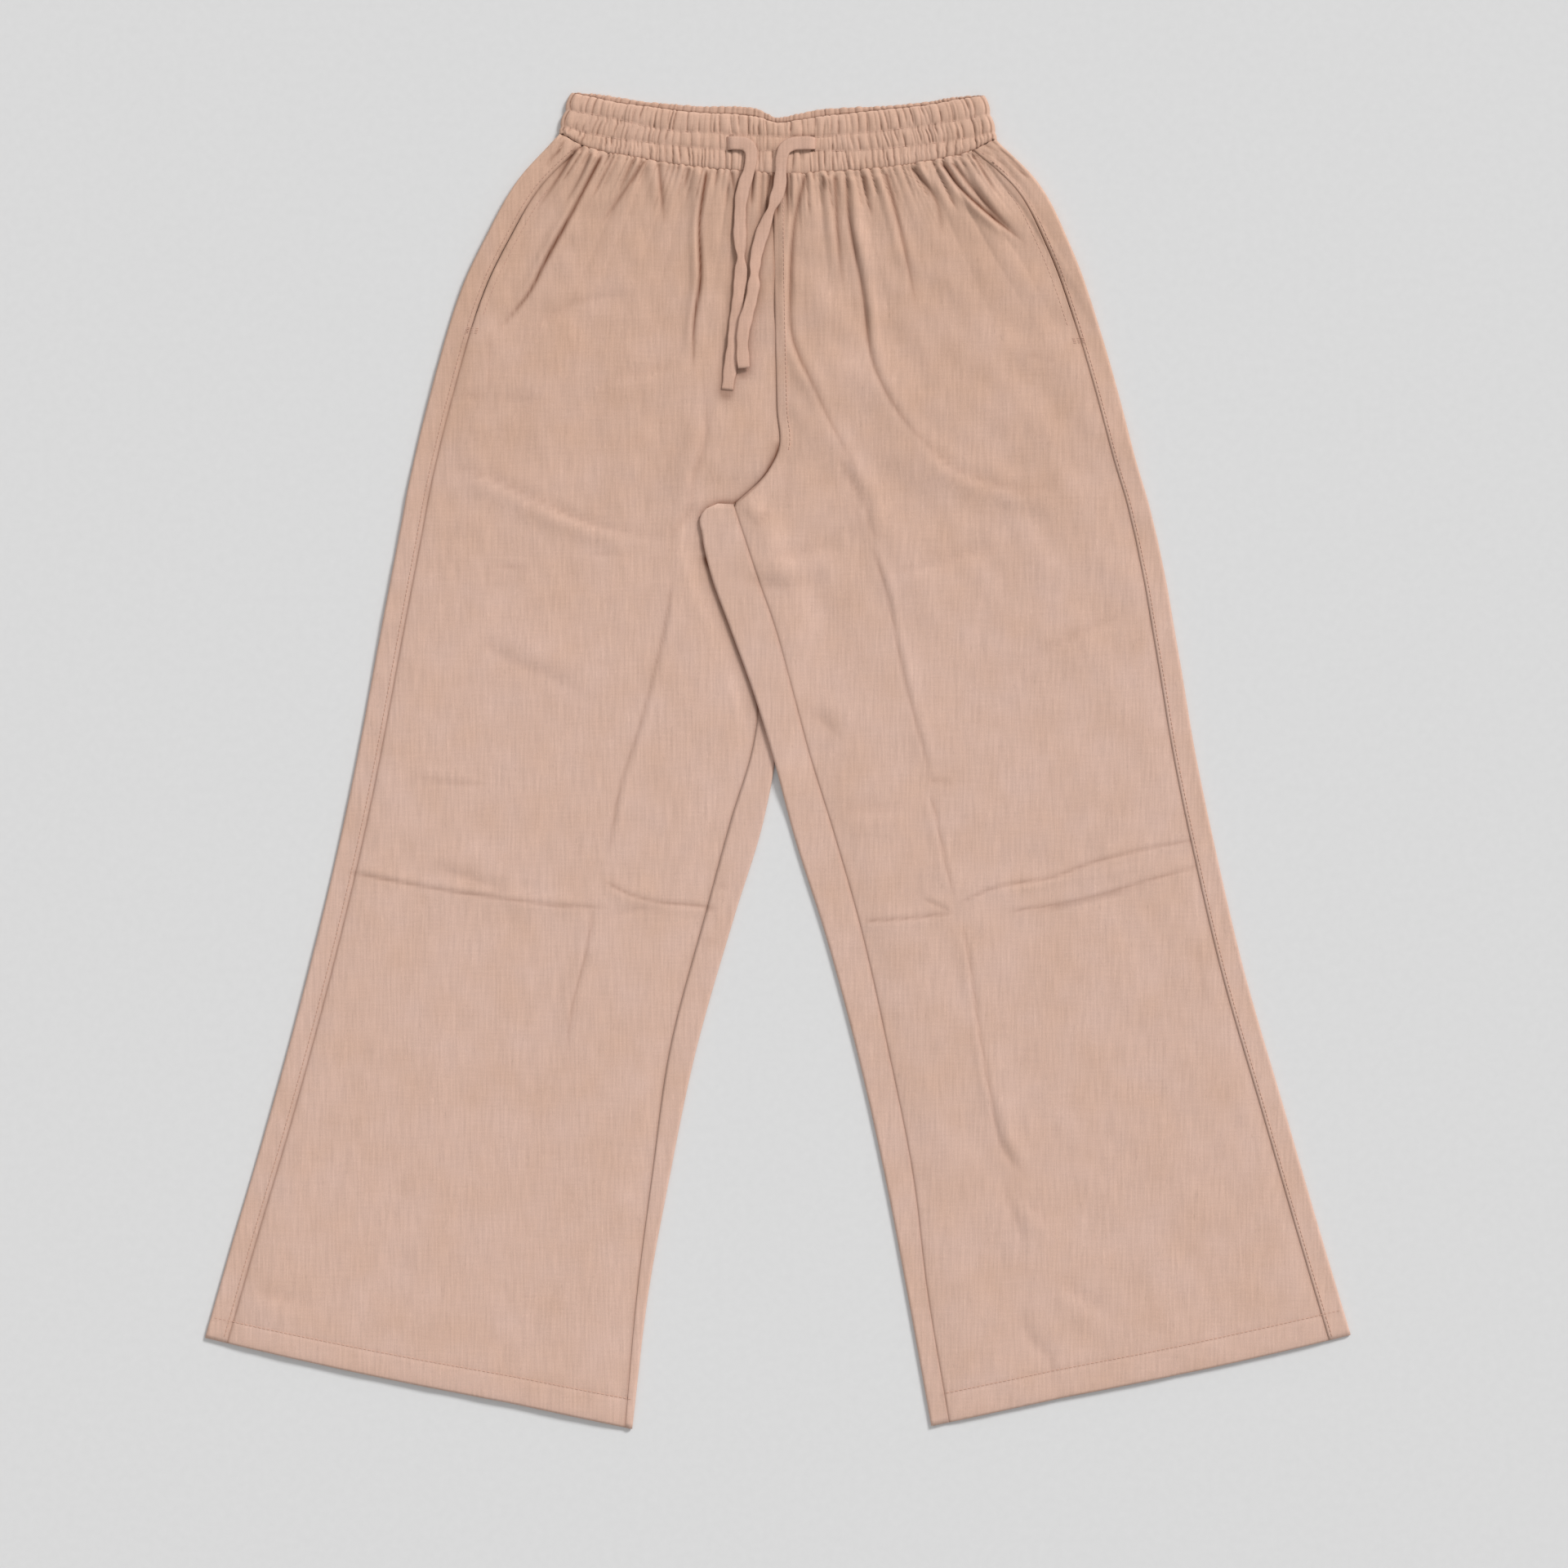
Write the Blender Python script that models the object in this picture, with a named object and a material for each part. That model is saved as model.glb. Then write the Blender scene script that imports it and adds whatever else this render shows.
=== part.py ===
"""Palazzo pants of woven linen, laid flat on their back.

The pants lie on the plane z = 0 with the waist towards +Y. The wearer's left leg
is on the +X side and laps over the right leg at the crotch. Each back panel lies on
the floor, turns up over both folds of its leg and ends on the front, at the side
seam and at the inseam. Each front panel lies on top, between those two seams.
The waistband is a flattened tube with three gathered channels, and the two ends of
the drawstring come out of buttonholes in its middle channel.

Tables give sizes in millimetres. A drop is measured down the garment from the upper
corner of the waistband, and x from the centre line. The origin is on the floor,
under the middle of the garment.
"""

import random
from collections import namedtuple

import bpy
import numpy as np

MM = 0.001

# Overall sizes
LENGTH = 1014.0
CLOTH = 1.2
SEAM_GAP = 0.3
SIDE_STRIP = 17.0
FOLD_ROUND = 2.2
FOLD_TURN = 35.0
HEM_DEPTH = 22.0
HEM_STEP = 0.5

# The underside of a front panel clears what lies below it
FRONT_LEAST = 2.75
OVER_POCKET_LEAST = 4.05

# The left leg's inner edge is lifted over the right leg's
LAP_LIFT = 3.15
LAP_CLEAR = 3.0
LAP_FALL = 34.0
LAP_STARTS = 271.0
CROTCH_DROP = 312.5
LAP_ENDS = 512.0
LAP_DOWN = 565.0
LAP_MARGIN = 30.0
LAP_FULL_EARLY = 3.0
LAP_COLUMNS = 4

# The right leg lies flat where it is tucked under the left one
TUCK_MARGIN = 4.0
TUCK_FALL = 16.0
TUCK_STARTS = 286.0
TUCK_RISE = 18.0
TUCK_ENDS = 520.0
TUCK_OUT = 40.0
TUCK_COLUMNS = 2

# Gathers under the waistband
GATHER_LENGTH = 26.0
GATHER_HEIGHT = 0.75
GATHER_COLUMNS = 42
GATHER_SPREAD = (0.6, 1.2)
GATHER_RUNOUT = 1.6
GATHER_AT_SEAM = 0.55
GATHER_DEEPENS = 40.0
CREST_SHARE = 0.35
SAG_FADE = 120.0

# Rows down a front panel: distances below the waist seam, then drops at its inner edge
GATHER_ROWS = (0.0, 7.0, 15.0, 24.0, 34.0)
FOLD_ROWS = (34.0, 50.0, 68.0, 90.0, 115.0, 140.0)
CROTCH_ROWS = (281.0, 291.0, 302.0, CROTCH_DROP, 322.0, 337.0, 366.0)
HEM_RAMP = 2.0
BODY_STEP = 31.0
BODY_COLUMNS = 10
NEAR_COLUMNS = 3
MARK_MARGIN = 0.01
PRESS_HALF = 9.0
PRESS_HEIGHT = 0.9
PRESS_STARTS = 330.0
PRESS_RISE = 60.0
PRESS_ENDS = 800.0
PRESS_FALL = 120.0
PRESS_GUESS = 0.3
PRESS_TRIES = 4
KNEE_HALF = 9.0
KNEE_DEPTH = 1.0

# Marks along a row of a back panel, and the columns of its stretches
MARK_FLOOR = 10.0
MARK_SEAM = 20.0
MARK_INNER_FOLD = 26.0
MARK_INSEAM = 30.0
TOP_STRIP_SHARES = (0.0, 0.2, 0.4, 0.6, 0.8)
FLOOR_SHARES = (0.02, 0.4, 0.8)
TOP_FLOOR_INSET = 0.03
TOP_FLOOR_COLUMNS = 30
SEAM_MARGIN = 0.005
STRIP_MARGIN = 4.0

# Waistband
BAND_HALF_SEAM = 165.5
BAND_HALF_RIM = 156.2
BAND_WALL = 1.6
BAND_INSIDE = 3.0
BAND_ROUND = 3.2
BAND_WAVES = 50
BACK_WAVES = 40
BACK_RELIEF = 0.45
BAND_SHIFT = 0.22
BAND_SPREAD = (0.55, 1.0)
BACK_SPREAD = (0.5, 1.0)
BAND_EDGE = 0.03
BAND_SEED = 11
PANEL_SEED = 29

# Buttonholes and drawstring
SLOT_WIDTH = 3.4
SLOT_LENGTH = 11.4
SLOT_FLOOR = 4.05
SLOT_TOP = 9.0
CORD_WIDTH = 9.5
CORD_THICK = 1.6
CORD_STEP = 7.0
CORD_LEAST_STEP = 1.2
CORD_TURN = 4
CORD_TURN_POINTS = 8
FLAT_UNDER_CORD = 16.0

# Pockets
SLIT_TOP = 63.0
SLIT_END = 196.0
SLIT_GAPE = 0.9
BAG_THICK = 1.0
BAG_INSET = 1.5
BAG_MARGIN = 12.0

# One section of a leg. out_x and out_drop give the outer fold, in_x and in_drop the
# front panel's inner edge, strip the width that the back panel turns over the inner
# fold, and out_high and in_high the height of the two layers at both edges.
Section = namedtuple("Section", "out_x out_drop in_x in_drop strip out_high in_high")

LEFT_LEG = (
    Section(165.5, 36.3, -3.7, 62.3, 0.0, 5.8, 5.8),
    Section(196.0, 67.0, -3.4, 95.0, 0.0, 5.8, 5.4),
    Section(221.0, 115.0, -3.0, 140.0, 0.0, 5.4, 4.8),
    Section(240.0, 167.0, -2.0, 190.0, 0.0, 5.0, 4.4),
    Section(259.0, 232.0, -0.8, 240.0, 0.0, 4.4, 4.0),
    Section(271.5, 280.0, 0.3, 271.0, 0.0, 4.0, 3.8),
    Section(280.0, 308.0, -10.5, 291.0, 0.0, 3.8, 3.4),
    Section(285.5, 330.0, -33.5, 312.5, 12.0, 3.7, 2.8),
    Section(287.5, 338.0, -30.5, 322.0, 27.0, 3.7, 2.8),
    Section(290.0, 350.0, -25.5, 337.0, 31.5, 3.6, 2.8),
    Section(294.5, 372.0, -16.0, 366.0, 34.5, 3.6, 2.8),
    Section(300.0, 404.0, -2.8, 403.6, 34.0, 3.6, 2.8),
    Section(307.5, 448.0, 11.5, 455.0, 29.5, 3.6, 2.8),
    Section(313.5, 485.0, 23.5, 500.0, 27.5, 3.5, 2.9),
    Section(320.5, 522.0, 42.0, 560.0, 29.5, 3.5, 3.2),
    Section(330.5, 569.0, 62.0, 630.0, 27.0, 3.4, 3.3),
    Section(353.0, 665.0, 83.5, 725.0, 23.0, 3.4, 3.3),
    Section(383.5, 770.0, 103.0, 824.0, 20.5, 3.3, 3.2),
    Section(407.0, 851.0, 113.0, 906.0, 15.0, 3.3, 3.2),
    Section(434.3, 942.4, 130.0, 1008.5, 13.5, 3.2, 3.2),
)

RIGHT_LEG = (
    Section(-165.5, 31.8, -3.7, 62.3, 0.0, 5.8, 5.8),
    Section(-195.0, 64.0, -3.4, 95.0, 0.0, 5.8, 5.4),
    Section(-222.0, 111.0, -3.0, 140.0, 0.0, 5.4, 4.8),
    Section(-243.0, 158.0, -2.0, 190.0, 0.0, 5.0, 4.4),
    Section(-263.0, 227.0, -0.8, 240.0, 0.0, 4.4, 4.0),
    Section(-274.5, 273.0, 0.3, 271.0, 0.0, 4.0, 3.6),
    Section(-280.6, 301.0, -10.5, 291.0, 0.0, 3.8, 3.1),
    Section(-285.0, 325.0, -33.5, 312.5, 4.0, 3.7, 2.8),
    Section(-289.0, 346.0, -30.0, 345.0, 15.0, 3.6, 2.8),
    Section(-294.0, 372.0, -25.5, 377.0, 21.0, 3.6, 2.8),
    Section(-304.0, 425.0, -18.0, 425.0, 18.5, 3.6, 2.8),
    Section(-309.5, 455.0, -14.5, 458.0, 15.5, 3.6, 2.8),
    Section(-316.0, 490.0, -19.0, 495.0, 18.0, 3.5, 2.8),
    Section(-325.0, 535.0, -36.0, 552.0, 24.5, 3.5, 3.1),
    Section(-339.0, 598.0, -55.0, 622.0, 22.0, 3.4, 3.2),
    Section(-361.8, 690.0, -82.0, 725.0, 19.5, 3.4, 3.3),
    Section(-387.8, 785.0, -96.0, 824.0, 13.0, 3.3, 3.2),
    Section(-411.4, 865.0, -106.5, 906.0, 8.5, 3.3, 3.2),
    Section(-434.3, 944.5, -116.0, 1012.5, 5.2, 3.2, 3.2),
)

# One column of the waistband, by its place along the waist seam: the drops of both
# rims, of the two stitched rows and of the seam itself.
WaistColumn = namedtuple("WaistColumn", "x back_rim front_rim upper_stitch lower_stitch seam")

WAIST = (
    WaistColumn(-165.5, 0.0, 1.0, 14.0, 26.0, 31.5),
    WaistColumn(-150.0, 1.2, 4.0, 16.5, 30.5, 40.5),
    WaistColumn(-130.5, 3.7, 8.1, 19.8, 34.4, 45.9),
    WaistColumn(-104.0, 7.4, 11.2, 26.0, 37.8, 50.8),
    WaistColumn(-80.0, 9.3, 14.3, 29.4, 40.3, 54.6),
    WaistColumn(-57.5, 10.5, 16.1, 30.4, 42.8, 57.4),
    WaistColumn(-34.0, 10.5, 16.9, 31.9, 44.0, 59.4),
    WaistColumn(-16.5, 12.4, 18.9, 32.9, 44.3, 60.8),
    WaistColumn(-1.5, 18.7, 22.9, 33.8, 44.3, 62.0),
    WaistColumn(14.0, 16.7, 21.7, 34.1, 44.3, 62.4),
    WaistColumn(32.0, 13.0, 18.9, 34.1, 44.3, 60.8),
    WaistColumn(53.5, 11.5, 16.7, 31.9, 44.6, 59.8),
    WaistColumn(91.5, 9.9, 13.0, 28.5, 41.9, 56.4),
    WaistColumn(122.5, 6.8, 9.9, 24.2, 38.6, 51.0),
    WaistColumn(147.0, 3.4, 5.6, 20.5, 34.7, 45.2),
    WaistColumn(165.5, 2.0, 3.0, 17.0, 30.4, 36.0),
)

# One row round the waistband: which drops of the column it lies between, its share of
# the way, the height of the front's outer face and the height of its gathers.
BandRow = namedtuple("BandRow", "above below share high relief")

BAND_ROWS = (
    BandRow("front_rim", "upper_stitch", 0.0, 4.7, 0.35),
    BandRow("front_rim", "upper_stitch", 0.5, 5.6, 0.70),
    BandRow("front_rim", "upper_stitch", 1.0, 4.9, 0.30),
    BandRow("upper_stitch", "lower_stitch", 0.5, 5.7, 0.60),
    BandRow("upper_stitch", "lower_stitch", 1.0, 5.0, 0.30),
    BandRow("lower_stitch", "seam", 0.5, 5.9, 0.75),
    BandRow("lower_stitch", "seam", 1.0, 5.4, 0.55),
)

# One long fold under the waistband, on the front: where it starts across the waist
# seam, from 0 at the centre to 1 at the side seam, where it ends, its length and depth.
Gather = namedtuple("Gather", "start end length depth")

LEFT_GATHERS = (
    Gather(0.04, 0.03, 46.0, 0.9),
    Gather(0.12, 0.09, 112.0, 1.2),
    Gather(0.29, 0.22, 128.0, 1.8),
    Gather(0.37, 0.30, 118.0, 1.3),
    Gather(0.46, 0.37, 46.0, 1.0),
    Gather(0.56, 0.48, 102.0, 1.2),
    Gather(0.70, 0.61, 66.0, 1.1),
    Gather(0.83, 0.80, 92.0, 1.6),
    Gather(0.92, 0.92, 84.0, 1.6),
)

RIGHT_GATHERS = (
    Gather(0.04, 0.04, 34.0, 0.8),
    Gather(0.17, 0.13, 76.0, 0.9),
    Gather(0.27, 0.20, 98.0, 1.0),
    Gather(0.37, 0.28, 112.0, 2.0),
    Gather(0.46, 0.36, 40.0, 1.0),
    Gather(0.59, 0.45, 62.0, 1.3),
    Gather(0.74, 0.64, 70.0, 1.5),
    Gather(0.88, 0.85, 124.0, 1.6),
)

# The pressed crease down each leg: x at a drop
LEFT_PRESS = (
    (345.0, 71.0), (450.0, 97.0), (549.0, 122.0),
    (682.0, 149.0), (801.0, 172.0), (940.0, 208.0),
)
RIGHT_PRESS = (
    (345.0, -72.0), (450.0, -95.0), (524.0, -114.0),
    (624.0, -140.0), (720.0, -158.0), (940.0, -196.0),
)

# The crease across each knee lies on this section
LEFT_KNEE = 630.0
RIGHT_KNEE = 622.0

# The pocket bag's width inwards from the slit, at a drop
PocketRow = namedtuple("PocketRow", "drop width")
POCKET = (
    PocketRow(72.0, 36.0),
    PocketRow(110.0, 74.0),
    PocketRow(160.0, 100.0),
    PocketRow(200.0, 108.0),
    PocketRow(226.0, 96.0),
    PocketRow(240.0, 58.0),
)

# The drawstring's two free ends, out of the buttonholes: x, drop and height of the
# cord's middle
RoutePoint = namedtuple("RoutePoint", "x drop high")

RIGHT_CORD = (
    RoutePoint(-38.4, 39.1, 5.5),
    RoutePoint(-36.1, 39.1, 7.3),
    RoutePoint(-29.5, 39.1, 7.4),
    RoutePoint(-24.2, 40.1, 7.5),
    RoutePoint(-20.8, 43.9, 7.6),
    RoutePoint(-20.1, 50.0, 7.6),
    RoutePoint(-21.6, 59.0, 7.5),
    RoutePoint(-25.2, 70.0, 7.4),
    RoutePoint(-27.9, 82.0, 7.2),
    RoutePoint(-28.7, 97.0, 7.0),
    RoutePoint(-28.7, 111.0, 6.8),
    RoutePoint(-28.0, 125.0, 6.6),
    RoutePoint(-28.6, 145.0, 6.3),
    RoutePoint(-30.4, 159.0, 6.1),
    RoutePoint(-31.8, 173.0, 5.9),
    RoutePoint(-33.6, 188.0, 5.8),
    RoutePoint(-35.4, 203.0, 5.7),
    RoutePoint(-38.3, 225.7, 5.6),
)

LEFT_CORD = (
    RoutePoint(28.4, 39.1, 5.5),
    RoutePoint(26.1, 39.1, 7.3),
    RoutePoint(17.5, 39.1, 7.4),
    RoutePoint(10.5, 39.9, 7.5),
    RoutePoint(5.4, 43.2, 7.6),
    RoutePoint(3.0, 49.5, 7.7),
    RoutePoint(2.2, 60.0, 7.6),
    RoutePoint(0.8, 74.0, 7.4),
    RoutePoint(-2.8, 84.0, 7.3),
    RoutePoint(-7.8, 96.0, 7.1),
    RoutePoint(-12.4, 109.0, 6.9),
    RoutePoint(-16.4, 124.0, 6.7),
    RoutePoint(-17.6, 136.0, 7.2),
    RoutePoint(-18.6, 149.0, 8.2),
    RoutePoint(-21.0, 161.0, 8.5),
    RoutePoint(-24.2, 172.0, 8.4),
    RoutePoint(-26.6, 184.0, 8.2),
    RoutePoint(-26.8, 197.0, 8.0),
    RoutePoint(-25.8, 209.6, 7.9),
)

# Base colours, linear, and roughness
LINEN = (0.60, 0.42, 0.34, 1.0)
LINEN_BAND = (0.54, 0.35, 0.27, 1.0)
LINEN_CORD = (0.58, 0.40, 0.33, 1.0)
LINEN_ROUGHNESS = 0.85


def curve(keys, values, at):
    """Cubic through the pairs of key and value, its slope at a key the mean of the chords."""
    keys = np.asarray(keys, float)
    values = np.asarray(values, float)
    step = np.diff(keys)
    chord = np.diff(values) / step
    inner = (chord[:-1] * step[1:] + chord[1:] * step[:-1]) / (step[:-1] + step[1:])
    slope = np.concatenate(([chord[0]], inner, [chord[-1]]))
    i = np.clip(np.searchsorted(keys, at, side="right") - 1, 0, len(keys) - 2)
    s = (at - keys[i]) / step[i]
    start = values[i] * (1 + 2 * s) * (1 - s) ** 2 + slope[i] * step[i] * s * (1 - s) ** 2
    end = values[i + 1] * s * s * (3 - 2 * s) + slope[i + 1] * step[i] * s * s * (s - 1)
    return start + end


def ease(value):
    """Smooth step from 0 at 0 to 1 at 1."""
    value = np.clip(value, 0.0, 1.0)
    return value * value * (3.0 - 2.0 * value)


def waist(name, x):
    """Drop of one named line of the waistband at x along the waist seam."""
    return curve([row.x for row in WAIST], [getattr(row, name) for row in WAIST], x)


def point(x, drop, high):
    """World position of a place on the garment."""
    return (x * MM, (LENGTH / 2 - drop) * MM, high * MM)


class Leg:
    """The curves of one leg, read at a section's key: the drop of its inner edge."""

    def __init__(self, sections, side, press, knee, gathers):
        self.side = side
        self.knee = knee
        self.press = press
        self.gathers = gathers
        self.keys = [row.in_drop for row in sections]
        self.columns = {name: [getattr(row, name) for row in sections] for name in Section._fields}

    def value(self, name, key):
        """One size of the leg's section at a key; the inner edge turns sharply at the crotch."""
        part = slice(None)
        if name in ("in_x", "strip", "in_high"):
            crotch = self.keys.index(CROTCH_DROP)
            part = slice(0, crotch + 1) if key <= CROTCH_DROP else slice(crotch, None)
        return float(curve(self.keys[part], self.columns[name][part], key))

    def ends(self, key):
        """Outer fold, inner edge and the direction from one to the other."""
        outer = np.array([self.value("out_x", key), self.value("out_drop", key)])
        inner = np.array([self.value("in_x", key), key])
        along = inner - outer
        return outer, inner, along / np.linalg.norm(along)

    def inner_fold(self, drop):
        """x of the inner fold near a drop."""
        key = float(np.clip(drop, CROTCH_DROP + 0.1, self.keys[-1]))
        return self.value("in_x", key) - self.side * self.value("strip", key)

    def sag(self, away, length, key):
        """How far the curved waist seam lets a place hang below its straight row.

        The place is this far away from the outer fold, on a row of this length.
        """
        fade = max(0.0, 1.0 - (key - self.keys[0]) / SAG_FADE) ** 2
        if fade == 0.0:
            return 0.0
        outer, inner, _ = self.ends(self.keys[0])
        first = np.linalg.norm(inner - outer)
        if away > SIDE_STRIP:
            away = SIDE_STRIP + (away - SIDE_STRIP) * (first - SIDE_STRIP) / (length - SIDE_STRIP)
        x, drop = outer + (inner - outer) * away / first
        return (float(waist("seam", x)) + SEAM_GAP - drop) * fade


LEFT = Leg(LEFT_LEG, 1, LEFT_PRESS, LEFT_KNEE, LEFT_GATHERS)
RIGHT = Leg(RIGHT_LEG, -1, RIGHT_PRESS, RIGHT_KNEE, RIGHT_GATHERS)


def lift(leg, x, drop):
    """Height that the left leg gains where it lies over the right leg's inner edge."""
    if leg is RIGHT:
        return 0.0
    over = RIGHT.inner_fold(drop) + LAP_CLEAR
    across = 1.0 - ease((x - over) / LAP_FALL)
    down = ease((drop - LAP_STARTS) / (CROTCH_DROP - LAP_STARTS - LAP_FULL_EARLY))
    down *= 1.0 - ease((drop - LAP_ENDS) / (LAP_DOWN - LAP_ENDS))
    return LAP_LIFT * float(across * down)


def tuck(leg, x, drop):
    """1 where the right leg lies under the left leg, 0 where it is free of it."""
    if leg is LEFT:
        return 0.0
    edge = LEFT.inner_fold(drop) - TUCK_MARGIN
    across = 1.0 - ease((edge - x) / TUCK_FALL)
    down = ease((drop - TUCK_STARTS) / TUCK_RISE) * (1.0 - ease((drop - TUCK_ENDS) / TUCK_OUT))
    return float(across * down)


def lap_places(leg, key):
    """x of the columns that follow the lap at the crotch, on the rows that it crosses."""
    if not LAP_STARTS <= key <= LAP_DOWN + LAP_MARGIN:
        return []
    if leg is LEFT:
        first = RIGHT.inner_fold(key) + LAP_CLEAR
        return [first + LAP_FALL * i / LAP_COLUMNS for i in range(LAP_COLUMNS + 1)]
    first = LEFT.inner_fold(key) - TUCK_MARGIN
    return [first - TUCK_FALL * i / TUCK_COLUMNS for i in range(TUCK_COLUMNS + 1)]


class Skin:
    """Two skins of the same layout, closed at their free edges into one wall."""

    def __init__(self):
        self.outer = []
        self.inner = []
        self.faces = []

    def row(self, marks, outer, inner):
        """Adds a row of points, each with its mark, a number that grows along the row."""
        first = len(self.outer)
        self.outer += outer
        self.inner += inner
        return [(mark, first + i) for i, mark in enumerate(marks)]

    def join(self, upper, lower):
        """Fills the strip between two rows with triangles, by the marks of their points."""
        i = 0
        j = 0
        while i < len(upper) - 1 or j < len(lower) - 1:
            can_upper = i < len(upper) - 1
            can_lower = j < len(lower) - 1
            if can_upper and can_lower:
                can_upper = upper[i][0] + upper[i + 1][0] <= lower[j][0] + lower[j + 1][0]
            if can_upper:
                self.faces.append((upper[i][1], lower[j][1], upper[i + 1][1]))
                i += 1
            else:
                self.faces.append((upper[i][1], lower[j][1], lower[j + 1][1]))
                j += 1

    def build(self, name, colour, flipped=False):
        """Makes the closed wall an object."""
        faces = [tuple(reversed(face)) for face in self.faces] if flipped else self.faces
        count = len(self.outer)
        edges = {(face[k], face[(k + 1) % 3]) for face in faces for k in range(3)}
        rims = [(b, a, a + count, b + count) for a, b in edges if (b, a) not in edges]
        inside = [tuple(index + count for index in reversed(face)) for face in faces]
        return add_object(name, self.outer + self.inner, faces + inside + sorted(rims), colour)


def add_object(name, points, faces, colour):
    """A mesh object with its own cloth material."""
    mesh = bpy.data.meshes.new(name)
    mesh.from_pydata(points, [], faces)
    mesh.validate()
    material = bpy.data.materials.new(name + "_linen")
    material.use_nodes = True
    shader = material.node_tree.nodes["Principled BSDF"]
    shader.inputs["Base Color"].default_value = colour
    shader.inputs["Roughness"].default_value = LINEN_ROUGHNESS
    shader.inputs["Metallic"].default_value = 0.0
    mesh.materials.append(material)
    made = bpy.data.objects.new(name, mesh)
    bpy.context.scene.collection.objects.link(made)
    return made


def slit(key_drop):
    """Gape of the pocket's slit at a drop of the side seam."""
    reach = (key_drop - SLIT_TOP) / (SLIT_END - SLIT_TOP)
    if reach <= 0.0 or reach >= 1.0:
        return 0.0
    return SLIT_GAPE * float(np.sin(np.pi * reach)) ** 0.5


def front_edges(leg, key):
    """Both ends of a front panel's row, clear of its neighbours."""
    outer, inner, along = leg.ends(key)
    inner_end = inner - along * SEAM_GAP / 2
    outer_end = outer + along * (SIDE_STRIP + SEAM_GAP / 2 + slit(outer[1]))
    return inner_end, outer_end


def over_pocket(x, drop, leg):
    """True where the front panel lies over the pocket bag."""
    if not POCKET[0].drop - BAG_MARGIN < drop < POCKET[-1].drop + BAG_MARGIN:
        return False
    outer = float(curve(leg.columns["out_drop"], leg.columns["out_x"], drop))
    width = float(curve([row.drop for row in POCKET], [row.width for row in POCKET],
                        np.clip(drop, POCKET[0].drop, POCKET[-1].drop)))
    return abs(x - outer) < SIDE_STRIP + width + BAG_MARGIN


def front_row(skin, leg, key, marks, relief):
    """One row of a front panel, its marks running from 0 at the inner to 1 at the side seam."""
    inner_end, outer_end = front_edges(leg, key)
    outer_fold, inner_seam, _ = leg.ends(key)
    length = np.linalg.norm(inner_seam - outer_fold)
    in_high = leg.value("in_high", key)
    out_high = leg.value("out_high", key)
    outer = []
    inner = []
    for mark, rise in zip(marks, relief):
        x, drop = inner_end + (outer_end - inner_end) * mark
        drop += leg.sag(np.linalg.norm((x, drop) - outer_fold), length, key)
        high = in_high + (out_high - in_high) * mark + rise
        hidden = tuck(leg, x, drop)
        high += (in_high - high) * hidden
        high = max(high, OVER_POCKET_LEAST if over_pocket(x, drop, leg) else FRONT_LEAST)
        high += lift(leg, x, drop)
        outer.append(point(x, drop, high))
        inner.append(point(x, drop, high - CLOTH))
    return skin.row(marks, outer, inner)


def gather_marks(leg, below):
    """Marks and relief of the long folds and the crests between them, below the seam."""
    marks = [0.0]
    relief = [0.0]
    previous = None
    for fold in leg.gathers:
        run = min(1.0, below / fold.length)
        place = fold.start + (fold.end - fold.start) * run
        near_seam = min(1.0, GATHER_AT_SEAM + below / GATHER_DEEPENS)
        depth = fold.depth * float(ease((1.0 - run) * GATHER_RUNOUT)) * near_seam
        if previous is not None:
            marks.append((previous[0] + place) / 2)
            relief.append(CREST_SHARE * (previous[1] + depth))
        marks.append(place)
        relief.append(-depth)
        previous = (place, depth)
    marks += [(previous[0] + 1.0) / 2, 1.0]
    relief += [CREST_SHARE * previous[1], 0.0]
    return marks, relief


def fine_marks(leg, below, heights):
    """Marks and relief of the fine gathers, with the long folds running through them."""
    marks = np.linspace(0.0, 1.0, len(heights))
    fold_marks, fold_relief = gather_marks(leg, below)
    fade = float(np.exp(-below / GATHER_LENGTH))
    relief = np.interp(marks, fold_marks, fold_relief)
    return list(marks), list(relief + np.asarray(heights) * fade)


def press_mark(leg, key):
    """Mark of the pressed crease on a row, and half its width as a share of the row."""
    inner_end, outer_end = front_edges(leg, key)
    width = outer_end[0] - inner_end[0]
    drops = [row[0] for row in leg.press]
    places = [row[1] for row in leg.press]
    mark = PRESS_GUESS
    for _ in range(PRESS_TRIES):
        drop = inner_end[1] + (outer_end[1] - inner_end[1]) * mark
        place = float(curve(drops, places, np.clip(drop, drops[0], drops[-1])))
        mark = (place - inner_end[0]) / width
    return mark, PRESS_HALF / abs(width)


def body_marks(leg, key):
    """Marks and relief of a plain row: even columns on both sides of the pressed crease."""
    centre, half = press_mark(leg, key)
    fade = float(ease((key - PRESS_STARTS) / PRESS_RISE) * (1.0 - ease((key - PRESS_ENDS) / PRESS_FALL)))
    inner_end, outer_end = front_edges(leg, key)
    places = [(x - inner_end[0]) / (outer_end[0] - inner_end[0]) for x in lap_places(leg, key)]
    low = [mark for mark in places if MARK_MARGIN < mark < centre - half - MARK_MARGIN]
    if not low:
        low = list(np.linspace(0.0, centre - half, NEAR_COLUMNS + 1))[1:-1]
    marks = [0.0] + low + [centre - half, centre]
    peak = len(marks) - 1
    marks += list(np.linspace(centre + half, 1.0, BODY_COLUMNS))
    relief = [0.0] * len(marks)
    relief[peak] = PRESS_HEIGHT * fade
    knee = 1.0 - min(1.0, abs(key - leg.knee) / KNEE_HALF)
    relief = [rise - KNEE_DEPTH * knee for rise in relief]
    return marks, relief


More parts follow.
